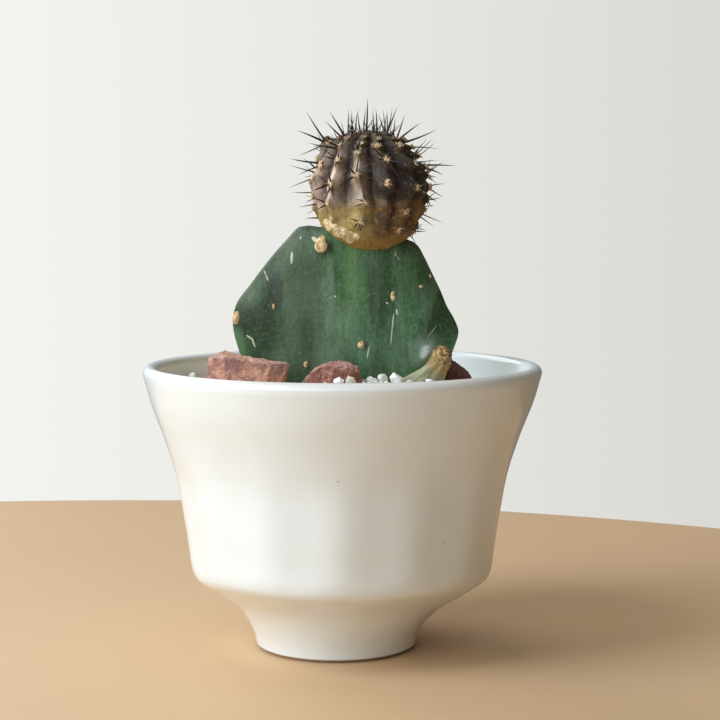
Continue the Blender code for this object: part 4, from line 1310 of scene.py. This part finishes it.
def skin_point(place, way):
    """A point of the skin in mm, its depth in the groove and its flank. Place counts ribs round the axis."""
    rib = math.floor(place)
    share = place - rib
    turn = crest_turn(rib, way) * (1 - share) + crest_turn(rib + 1, way) * share
    across = 1 - abs(2 * share - 1)
    strength = smooth_step(1.5, 9, way) * (1 - 0.78 * smooth_step(24, 38, way))
    near = (rib if share < 0.5 else rib + 1) % RIBS
    swell = swelling(near, way) * (CALM if near in CALM_RIBS else 1.0)
    radius = curve_value(RADIUS_AT, way) - RIB_DEPTH * strength * across**1.2
    radius += TUBERCLE * strength * swell * (1 - across**2)
    point = Vector(
        (GLOBE_X + radius * math.sin(turn), GLOBE_Y - radius * math.cos(turn), curve_value(HEIGHT_AT, way))
    )
    outward = (point - GLOBE_HEART).normalized()
    for spot, reach, high in bump_spots:
        point += outward * high * math.exp(-(((point - spot).length / reach) ** 2))
    return point, across * strength, math.sin(2 * math.pi * share) * strength


print({rib: len(knots) for rib, knots in rib_areoles.items()}, "areoles")

# %% Pull a sphere into the ribbed globe
SPHERE_ROWS, SPHERE_COLUMNS = 96, 16 * RIBS
bpy.ops.mesh.primitive_uv_sphere_add(segments=SPHERE_COLUMNS, ring_count=SPHERE_ROWS, radius=1.0)
globe = bpy.context.object
grooves, flanks = [], []
for point in globe.data.vertices:
    down = math.acos(max(-1.0, min(1.0, point.co.z))) / math.pi
    place = math.atan2(point.co.x, -point.co.y) / RIB_STEP - GLOBE_TURN / RIB_STEP
    skin_at, groove, flank = skin_point(place, down * GLOBE_WAY)
    if down < 0.001 or down > 0.999:
        skin_at = Vector((GLOBE_X, GLOBE_Y, HEIGHT_AT[0 if down < 0.5 else -1][1]))
    low = smooth_step(124, 114, skin_at.z)
    uneven = noise.noise(skin_at * 0.35) * 0.35 + noise.noise(skin_at * 1.1) * (0.08 + 0.14 * low)
    outward = Vector((skin_at.x - GLOBE_X, skin_at.y - GLOBE_Y, 0))
    if outward.length > 0.5:
        skin_at += outward.normalized() * uneven
    point.co = skin_at * MM
    grooves.append(groove)
    flanks.append(flank)
store_note(globe, "groove", grooves)
store_note(globe, "flank", flanks)
globe.data.update()
bpy.context.view_layer.update()
print(len(globe.data.polygons), "faces of the globe")

# %% Where the areoles are


def inside_joint(point, margin):
    """Whether a point in mm lies in the flat joint or closer to it than margin."""
    return depth_inside(pad, Vector(point) * MM) > -margin * MM


BALD_BELOW = {1: 24.0}  # rib and way in mm: the foot of this rib has lost its areoles
AREOLE_SHADOW_REACH = 1.9
areoles = []  # rib, way, point in mm, outward normal
for rib, knots in rib_areoles.items():
    for way, _ in knots:
        here, _, _ = skin_point(rib, way)
        up = (skin_point(rib, max(0.0, way - 0.8))[0] - skin_point(rib, way + 0.8)[0]).normalized()
        side = (skin_point(rib + 0.1, way)[0] - skin_point(rib - 0.1, way)[0]).normalized()
        normal = side.cross(up).normalized()
        if not inside_joint(here, 1.4) and way < BALD_BELOW.get(rib, GLOBE_WAY):
            areoles.append((rib, way, here, normal))
# painted shadow of each areole: a darker olive patch to its right and below
areole_shadow = np.zeros(len(globe.data.vertices))
skin_now = net_of(globe)[0] / MM
for rib, way, here, normal in areoles:
    beside = here + Vector((0, 0, 1)).cross(normal) * 0.9 - Vector((0, 0, 0.7))
    areole_shadow = np.maximum(areole_shadow, np.exp(-(np.linalg.norm(skin_now - np.array(beside), axis=1) / AREOLE_SHADOW_REACH) ** 2))
store_note(globe, "areole_shadow", areole_shadow)
print(len(areoles), "areoles")

# %% [markdown]
# ## Skin of the globe
# The young skin near the crown is dark brown. Lower down it bleaches to a mauve grey, pinker on the left,
# where painted light also makes it paler, and the oldest skin round the base has turned to olive and rusty
# brown cork. Painted shade darkens the right side, the right flank of each rib and the grooves, and a
# painted shadow lies beside each areole.

# %% Globe skin
flesh = Finish("globe_skin", 0.72)
x, _, z = flesh.axes()
blots = flesh.noise(6 * MM, detail=5, roughness=0.6)
fine = flesh.noise(1.1 * MM, detail=4, roughness=0.6)
wander = flesh.times(flesh.less(flesh.noise(7 * MM, detail=3), 0.5), 9 * MM)
x_soft, z_soft = flesh.plus(x, wander), flesh.plus(z, wander)
flesh.colour = flesh.mix(flesh.span(blots, 0.35, 0.65), paint(164, 144, 122), paint(200, 178, 152))
# the upper left is pinker and paler: partly the skin's own pink, partly painted light
flesh.lay(flesh.times(flesh.zone(x_soft, 2, -4), flesh.zone(z_soft, 138, 130)), paint(252, 218, 194), 0.9)
# painted shade on the right side of the globe
flesh.lay(flesh.times(flesh.zone(x_soft, 5.5, 10), flesh.zone(z_soft, 119, 123.5)), paint(38, 32, 26), 0.96)
flesh.lay(flesh.zone(z, 135, 141), paint(62, 45, 38), 0.9)
olive = flesh.mix(flesh.span(blots, 0.4, 0.6), paint(154, 126, 62), paint(180, 154, 94))
flesh.lay(flesh.zone(z_soft, 124, 120), olive)
blotch = flesh.noise(3.2 * MM, detail=4, roughness=0.6)
rust = flesh.mix(flesh.span(blots, 0.42, 0.60), paint(92, 68, 46), paint(140, 104, 60))
rust = flesh.mix(flesh.times(flesh.span(blotch, 0.54, 0.66), 0.8), rust, paint(176, 122, 46))
rust = flesh.mix(flesh.times(flesh.span(blotch, 0.46, 0.34), 0.7), rust, paint(72, 62, 34))
flesh.lay(flesh.times(flesh.zone(x_soft, 6, 10), flesh.zone(z_soft, 124.5, 120.5)), rust)
flesh.lay(flesh.zone(z_soft, 115.8, 111.6), paint(170, 128, 54), 0.85)
# dark spots, fewer on the left, which leaves it lighter as part of the painted light there
spots = flesh.span(flesh.noise(2.2 * MM, detail=5, roughness=0.7), 0.50, 0.62)
flesh.lay(flesh.times(spots, flesh.zone(x_soft, -6, 6, 0.2, 0.45)), paint(104, 90, 58))
# painted shade on the right flank of each rib, the side turned from the window
flank = flesh.times(flesh.span(flesh.note("flank"), 0.0, 0.4), flesh.zone(z, 117, 126))
flesh.lay(flank, paint(66, 46, 42), 0.55)
# painted shadow beside each areole
flesh.lay(flesh.note("areole_shadow"), paint(92, 84, 52), 0.7)
# painted shade in the grooves
deep = flesh.times(flesh.span(flesh.note("groove"), 0.3, 0.8), flesh.zone(z_soft, 121, 128, 0.4, 0.9))
flesh.lay(deep, paint(48, 30, 28))
flesh.lay(flesh.span(fine, 0.56, 0.75), paint(196, 176, 150), 0.4)
flesh.lay(flesh.span(fine, 0.42, 0.28), paint(58, 42, 32), 0.5)
flesh.put("Subsurface Weight", 0.05)
flesh.put("Subsurface Radius", (1.0 * MM, 0.6 * MM, 0.4 * MM))
flesh.relief(flesh.plus(fine, blots), 0.45 * MM, 0.85)
hand_over(globe, "copiapoa_globe", flesh.done(), ["copiapoa_scion"], 70)

# %% [markdown]
# ## Areoles and wool
# Every areole is a pad of cream wool. The crown is crowded with young dark ones, set on a spiral by the
# golden angle, as they grow.
# One roughened ball serves for all, flattened and turned to its place.

# %% Pads of wool
PAD_SIZES, YOUNG_SIZES, CROWN_SIZES = (0.66, 0.78, 0.40), (0.85, 0.75, 0.6), (4.4, 4.4, 1.2)  # halves in mm
YOUNG_PADS, GOLDEN_ANGLE, YOUNG_STEP, YOUNG_TOP, CROWN_MIDDLE = 18, math.radians(137.5), 1.05, 142.1, 141.0
wool_places = []
for rib, way, here, normal in areoles:
    size = 0.66 + 0.44 * ((rib * 7 + round(way)) % 5) / 4 - 0.2 * smooth_step(26, 34, way)
    sizes = Vector(PAD_SIZES) * size * MM
    wool_places.append(placed((here - 0.05 * normal) * MM, facing(normal), sizes))
crown_spots = []
for number in range(YOUNG_PADS):
    turn, away = number * GOLDEN_ANGLE, YOUNG_STEP * math.sqrt(number)
    x, y = GLOBE_X + away * math.sin(turn), GLOBE_Y - away * math.cos(turn)
    spot = Vector((x, y, YOUNG_TOP - 0.05 * away * away))
    crown_spots.append(spot)
    wool_places.append(placed(spot * MM, Matrix.Rotation(turn, 3, "Z"), Vector(YOUNG_SIZES) * MM))
middle = Vector((GLOBE_X, GLOBE_Y, CROWN_MIDDLE)) * MM
wool_places.append(placed(middle, Matrix.Identity(3), Vector(CROWN_SIZES) * MM))
tuft = lumpy_ball(3, 2, 0.5)
draw = random.Random(5)
move_points(tuft, lambda p: p * draw.choice((0.72, 0.95, 1.0, 1.3)))
wool = copies_joined(tuft, wool_places)
print(len(wool_places), "pads of wool")

# %% Wool finish
fluff = Finish("areole_wool", 0.95)
x, _, z = fluff.axes()
tufts = fluff.noise(0.5 * MM, detail=4, roughness=0.7)
fluff.colour = fluff.mix(fluff.span(tufts, 0.36, 0.54), paint(156, 108, 60), paint(250, 226, 180))
fluff.lay(fluff.zone(z, 134.5, 138.5), paint(170, 124, 70), 0.6)
# painted shade on the pads of the right side, away from the window
fluff.lay(fluff.zone(x, 13, 20), paint(136, 98, 62), 0.6)
fluff.lay(fluff.zone(z, 139.2, 141.2), paint(104, 70, 48))
fluff.put("Sheen Weight", 0.3)
fluff.relief(tufts, 0.3 * MM)
hand_over(wool, "areole_wool", fluff.done(), ["copiapoa_scion"], 70)

# %% [markdown]
# ## Spines
# A spine is a slim tapered needle with a slight bow, horn brown at its root and black along the rest of
# its length. Where the photo shows a spine, it runs from its areole to the tip's pixel. The back and the
# crown are filled by rule: one spine straight out and a ring of radial ones.

# %% Spines that the photo shows
SEEN_SPINES = [  # root pixel, tip pixel, lean towards the camera in mm, root radius in hundredths of a mm
    (366.7, 134, 367.4, 96.9, 1, 30), (379.7, 136, 375.7, 107.2, 2, 30), (352.2, 137, 351.6, 109.5, 2, 29),
    (360.2, 136, 357.9, 111.8, 0, 26), (383.7, 134, 386.6, 113.5, -1, 24), (387.2, 135, 397.5, 106.6, 1, 30),
    (387.5, 134, 392.3, 107.5, -1, 22), (404.4, 139, 405, 114.1, 0, 27), (406.7, 140, 421.6, 122.1, 1, 29),
    (409.6, 143, 437.8, 129, 2, 34), (395.8, 139, 395.8, 117, -2, 22), (344.7, 136, 329.2, 111.2, 1, 32),
    (342.4, 138, 324.6, 120.4, 0, 26), (321.6, 147.5, 305.7, 110.7, -1, 28), (322.7, 148, 297, 130.2, 1, 34),
    (336.7, 148, 308, 142.8, 3, 28), (350, 136, 347, 118.7, -3, 18), (366, 134, 363, 119.8, -3, 18),
    (374, 134, 371.1, 117.6, -3, 18), (390.6, 136, 402, 122.7, -2, 20), (332, 141, 333.5, 128, -4, 18),
    (322.2, 162.3, 289, 158.3, 0, 32), (312, 172, 288.4, 164.6, -1, 20), (311.5, 175, 303.9, 165.2, -2, 16),
    (323.5, 149.7, 297.6, 156, -1, 22), (325, 148, 312.6, 147.4, -2, 20), (311, 177.2, 287.3, 188.2, 0, 18),
    (312.3, 191.6, 290.7, 192.2, 1, 20), (320.4, 166.3, 297, 175.5, 1, 22), (312, 195.6, 303.9, 202.5, 0, 24),
    (313.8, 203.6, 298.2, 207.7, 0, 22), (322.8, 218.2, 304.5, 218.6, 2, 24),
    (314, 209, 306.2, 215.1, -1, 16), (321.6, 228.5, 313.7, 233.5, 1, 20), (422, 164, 457.2, 166, 0, 31),
    (423, 167, 444, 175.5, 1, 30), (411.3, 146.5, 440, 149.1, -1, 22), (422, 163.5, 439.4, 160, -2, 18),
    (415.9, 158.5, 427.3, 138.2, 0, 20), (421.5, 159.5, 434.2, 137.1, -1, 20),
    (422, 160, 437.7, 139.9, -2, 18), (421.6, 170.3, 434.2, 181.8, -1, 20),
    (425.5, 185.9, 445.7, 183.6, -1, 20), (426.3, 188.7, 444, 197.3, -1, 20), (424, 191, 437.7, 202.5, 1, 26),
    (425, 208.2, 435.4, 205.4, 0, 22), (425, 211.1, 444, 223.2, 0, 20), (424, 212.8, 434.8, 227.2, 1, 22),
    (410.5, 233, 427.3, 231.8, 1, 22), (413, 234.5, 416.4, 243.8, 1, 18), (357.8, 174.4, 359, 154.3, 3, 20),
    (357.8, 174.4, 373.4, 161.2, 4, 16), (358.4, 175, 376.9, 179, 2, 20), (357.8, 174.4, 347.6, 163.5, 3, 20),
    (357, 175.4, 337.2, 187.6, 3, 26), (357, 174.4, 349.3, 169.2, 4, 20), (331.5, 184.3, 310.8, 191.6, 3, 30),
    (331.5, 184, 316.6, 174.4, 3, 18), (331.8, 183.6, 328, 169.2, 4, 22), (331.5, 184.8, 324, 200.2, 4, 22),
    (332, 184.8, 334.4, 200.2, 4, 22), (331, 184.3, 321.7, 185.3, 5, 22), (338.6, 159.6, 321.7, 155.4, 2, 28),
    (338, 159, 321.7, 147, 1, 22), (339.4, 160, 349.3, 164, 3, 22), (338.6, 160, 334.4, 168.5, 4, 22),
    (338.6, 159, 340.5, 147, 4, 20), (358.8, 152.2, 357.5, 140, 4, 22), (359.2, 152, 361.3, 134.2, 4, 28),
    (358, 152, 351, 144, 3, 22), (359.5, 152.4, 369, 147, 3, 18), (325.5, 203.4, 312, 197.3, 3, 26),
    (325.3, 203.8, 316, 210.5, 3, 24), (326, 203.4, 331, 213, 3, 16), (364.2, 202.6, 361.3, 189.9, 4, 20),
    (363.9, 202.6, 354.8, 198.8, 4, 20), (363.9, 203, 352.7, 207, 4, 18), (364.5, 203, 372.5, 208.5, 4, 16),
    (360.4, 222.8, 353, 229.5, 3, 22), (360.8, 222.8, 360.8, 232.3, 4, 20), (360.4, 222.4, 349, 218.8, 3, 20),
    (361.2, 222.4, 368, 217.5, 3, 16), (385.6, 158.8, 371.1, 145.1, 3, 28), (385.4, 159, 376, 158, 4, 22),
    (386.2, 159.2, 400.9, 180, 4, 20), (386.2, 158.8, 404.5, 161.8, 3, 18), (386, 158.4, 391.5, 148.5, 3, 22),
    (386.5, 183.3, 378, 178, 4, 20), (386.8, 183.8, 382.5, 195, 4, 22), (387, 183.5, 396.5, 176.5, 3, 20),
    (387, 183.8, 395, 192, 3, 18), (412.4, 162.6, 403, 151.5, 3, 24), (412.4, 163.2, 404.5, 172, 4, 22),
    (415.2, 188, 408, 195.5, 3, 20), (415.2, 187.4, 409, 180, 3, 20), (404.8, 211.8, 396.5, 215.5, 3, 18),
    (405.2, 211.4, 411, 204.5, 3, 18), (399, 230.5, 414.5, 233.8, 2, 22), (398.6, 230.2, 391.5, 226, 3, 16),
    (341, 147, 322, 138.4, 3, 30), (376.6, 146, 369, 129, 2, 26), (376.6, 146.4, 366.5, 152.5, 4, 18),
    (398.2, 144.6, 392, 131, 2, 24), (398.4, 145, 407.5, 152, 3, 20),
]

# %% Build the spines
SPINE_SIDES, SPINE_RINGS = 5, 4
draw = random.Random(23)
spine_points, spine_faces, spine_way, spine_tone = [], [], [], []


def add_spine(root, tip, radius, tone):
    """One needle in mm from just under the skin to its tip."""
    along = tip - root
    turn = facing(along.normalized())
    bow = turn @ Vector((draw.uniform(-1, 1), draw.uniform(-1, 1), 0)) * along.length * 0.035
    dark = 1.4 * smooth_step(138.5, 140, root.z)  # in the crown the roots are dark too
    start = len(spine_points)
    for ring in range(SPINE_RINGS):
        t = ring / SPINE_RINGS
        middle = root + along * t + bow * 4 * t * (1 - t)
        for side in range(SPINE_SIDES):
            angle = 2 * math.pi * side / SPINE_SIDES
            spoke = turn @ Vector((math.cos(angle), math.sin(angle), 0))
            spine_points.append((middle + spoke * radius * (1 - t) ** 0.75) * MM)
            spine_way.append(t * along.length + dark)
            spine_tone.append(tone)
    spine_points.append(tip * MM)
    spine_way.append(along.length + dark)
    spine_tone.append(tone)
    spine_faces.extend(ring_quads(SPINE_RINGS, SPINE_SIDES, start))
    last = start + (SPINE_RINGS - 1) * SPINE_SIDES
    for side in range(SPINE_SIDES):
        spine_faces.append((last + side, last + (side + 1) % SPINE_SIDES, last + SPINE_SIDES))
    spine_faces.append(tuple(range(start, start + SPINE_SIDES))[::-1])


def fan_out(normal, angle, out, wide):
    """A direction that slants off the normal, by wide for out, towards an angle round it."""
    up = (Vector((0, 0, 1)) - normal * normal.z).normalized()
    spread = math.cos(angle) * up.cross(normal) + math.sin(angle) * up
    return (out * normal + wide * spread).normalized()


for u0, v0, u1, v1, lean, hundredths in SEEN_SPINES:
    radius = hundredths / 100
    turn, way = on_globe(u0, v0)
    rough_root, _, _ = skin_point((turn - GLOBE_TURN) / RIB_STEP, way)
    _, root, normal, _ = globe.closest_point_on_mesh(rough_root * MM)
    root = root / MM - normal * 0.5
    tip = seen_at(u1, v1, (root.y - lean) * MM) / MM
    add_spine(root, tip, radius * (1.4 if lean >= 3 else 1.2), 0.25 if radius < 0.17 else 0.0)

# %% Spines by rule, on the back and in the crown
LONGEST, SHORTEST, CROWN_LONGEST, HIGHEST_TIP = 10.0, 4.5, 7.5, 151.5  # mm: near the crown, near the base
CROWN_WAY, CROWN_LEVEL, STUB_WAY = 4.5, 139, 7  # mm
RADIALS, STUBS, CROWN_SPINES = 6, 7, 2
for rib, way, here, normal in areoles:
    longest = LONGEST + (SHORTEST - LONGEST) * smooth_step(8, 34, way)
    back = normal.y > 0.15 and here.z < CROWN_LEVEL
    directions = []
    if back or (way < CROWN_WAY and here.y > GLOBE_Y):
        directions.append((fan_out(normal, math.pi / 2, 1.0, 0.35), 1.0))
        start, radials = draw.uniform(0, 2 * math.pi), RADIALS if way > CROWN_WAY else 1
        for i in range(radials):
            directions.append((fan_out(normal, start + 2 * math.pi * i / radials, 0.55, 0.8), 0.68))
    if not back and way > STUB_WAY:  # the pale stubs of small spines make every areole a little star
        start, root = draw.uniform(0, 2 * math.pi), here - normal * 0.1
        for i in range(STUBS):
            angle = start + 2 * math.pi * (i + draw.uniform(-0.2, 0.2)) / STUBS
            tip = root + fan_out(normal, angle, 0.4, 0.9) * draw.uniform(0.9, 1.8)
            add_spine(root, tip, 0.13, 1.0)
    for direction, share in directions:
        length = longest * share * draw.uniform(0.7, 1.0)
        if way < CROWN_WAY:
            direction = (direction + Vector((0, 0, 0.6))).normalized()
            length = min(length, CROWN_LONGEST)
        root = here - normal * 0.4
        if any(inside_joint(root + direction * length * t, 0.3) for t in (0.4, 0.7, 1.0)):
            continue
        tip = root + direction * length
        if tip.z < HIGHEST_TIP:
            add_spine(root, tip, 0.15 + 0.017 * length, draw.choice((0.0, 0.0, 0.1, 0.4)))
for spot in crown_spots:
    if spot.y > GLOBE_Y:
        for _ in range(CROWN_SPINES):
            lean = Vector((spot.x - GLOBE_X, spot.y - GLOBE_Y, 6))
            lean += Vector([draw.uniform(-1.5, 1.5) for _ in range(3)])
            add_spine(spot, spot + lean.normalized() * draw.uniform(2.6, 4.6), 0.17, 0.0)
spines = mesh_piece(spine_points, spine_faces)
store_note(spines, "way", spine_way)
store_note(spines, "tone", spine_tone)
print(len(spine_points) // (SPINE_SIDES * SPINE_RINGS + 1), "spines")

# %% Spine finish
horn = Finish("spine_horn", 0.45)
way = horn.note("way")
horn.colour = horn.mix(horn.span(way, 0.7, 1.3), paint(232, 196, 144), paint(84, 52, 34))
horn.lay(horn.span(way, 1.2, 2.0), paint(26, 21, 22))
grey = horn.mix(horn.span(way, 1.2, 3.6), paint(244, 222, 184), paint(120, 108, 100))
horn.lay(horn.note("tone"), grey)
horn.lay(horn.span(horn.noise(0.5 * MM), 0.5, 0.7), paint(96, 70, 54), 0.25)
hand_over(spines, "spines", horn.done(), ["copiapoa_scion"], 60)

# %% [markdown]
# ## The graft
# Where the globe was set on the cut joint, a crust of pale callus has healed over the left of the seam.

# %% Callus along the seam
CRUMBS = [  # pixel and size in mm
    (327.0, 222.4, 1.1), (329.4, 225.8, 1.5), (332.6, 227.2, 1.6), (336.0, 228.6, 1.5), (338.6, 231.6, 1.9),
    (343.0, 232.8, 1.8), (346.2, 236.0, 2.0), (350.6, 235.6, 1.7), (350.0, 239.4, 1.4), (354.4, 237.6, 1.4),
    (342.0, 236.2, 1.2), (357.2, 236.0, 0.9), (334.6, 231.2, 1.1),
]
CRUMB_FORM, CALLUS_VOXEL = Vector((1.05, 0.9, 0.38)), 0.14 * MM
crumb_places = []
for number, (u, v, size) in enumerate(CRUMBS):
    point, normal = seat_on(globe, u, v)
    turn = facing(normal) @ Matrix.Rotation(number * 1.3, 3, "Z")
    crumb_places.append(placed(point, turn, CRUMB_FORM * size * MM))
callus = copies_joined(lumpy_ball(4, 1, 0.12), crumb_places)
modify(callus, "REMESH", mode="VOXEL", voxel_size=CALLUS_VOXEL)
modify(callus, "SMOOTH", factor=0.5, iterations=8)
print(len(callus.data.polygons), "faces of callus")
callus_cork = cork_finish("graft_callus", (246, 236, 210), (226, 206, 160), (168, 134, 82), 1.4 * MM)
hand_over(callus, "graft_callus", callus_cork, ["copiapoa_scion"], 60)
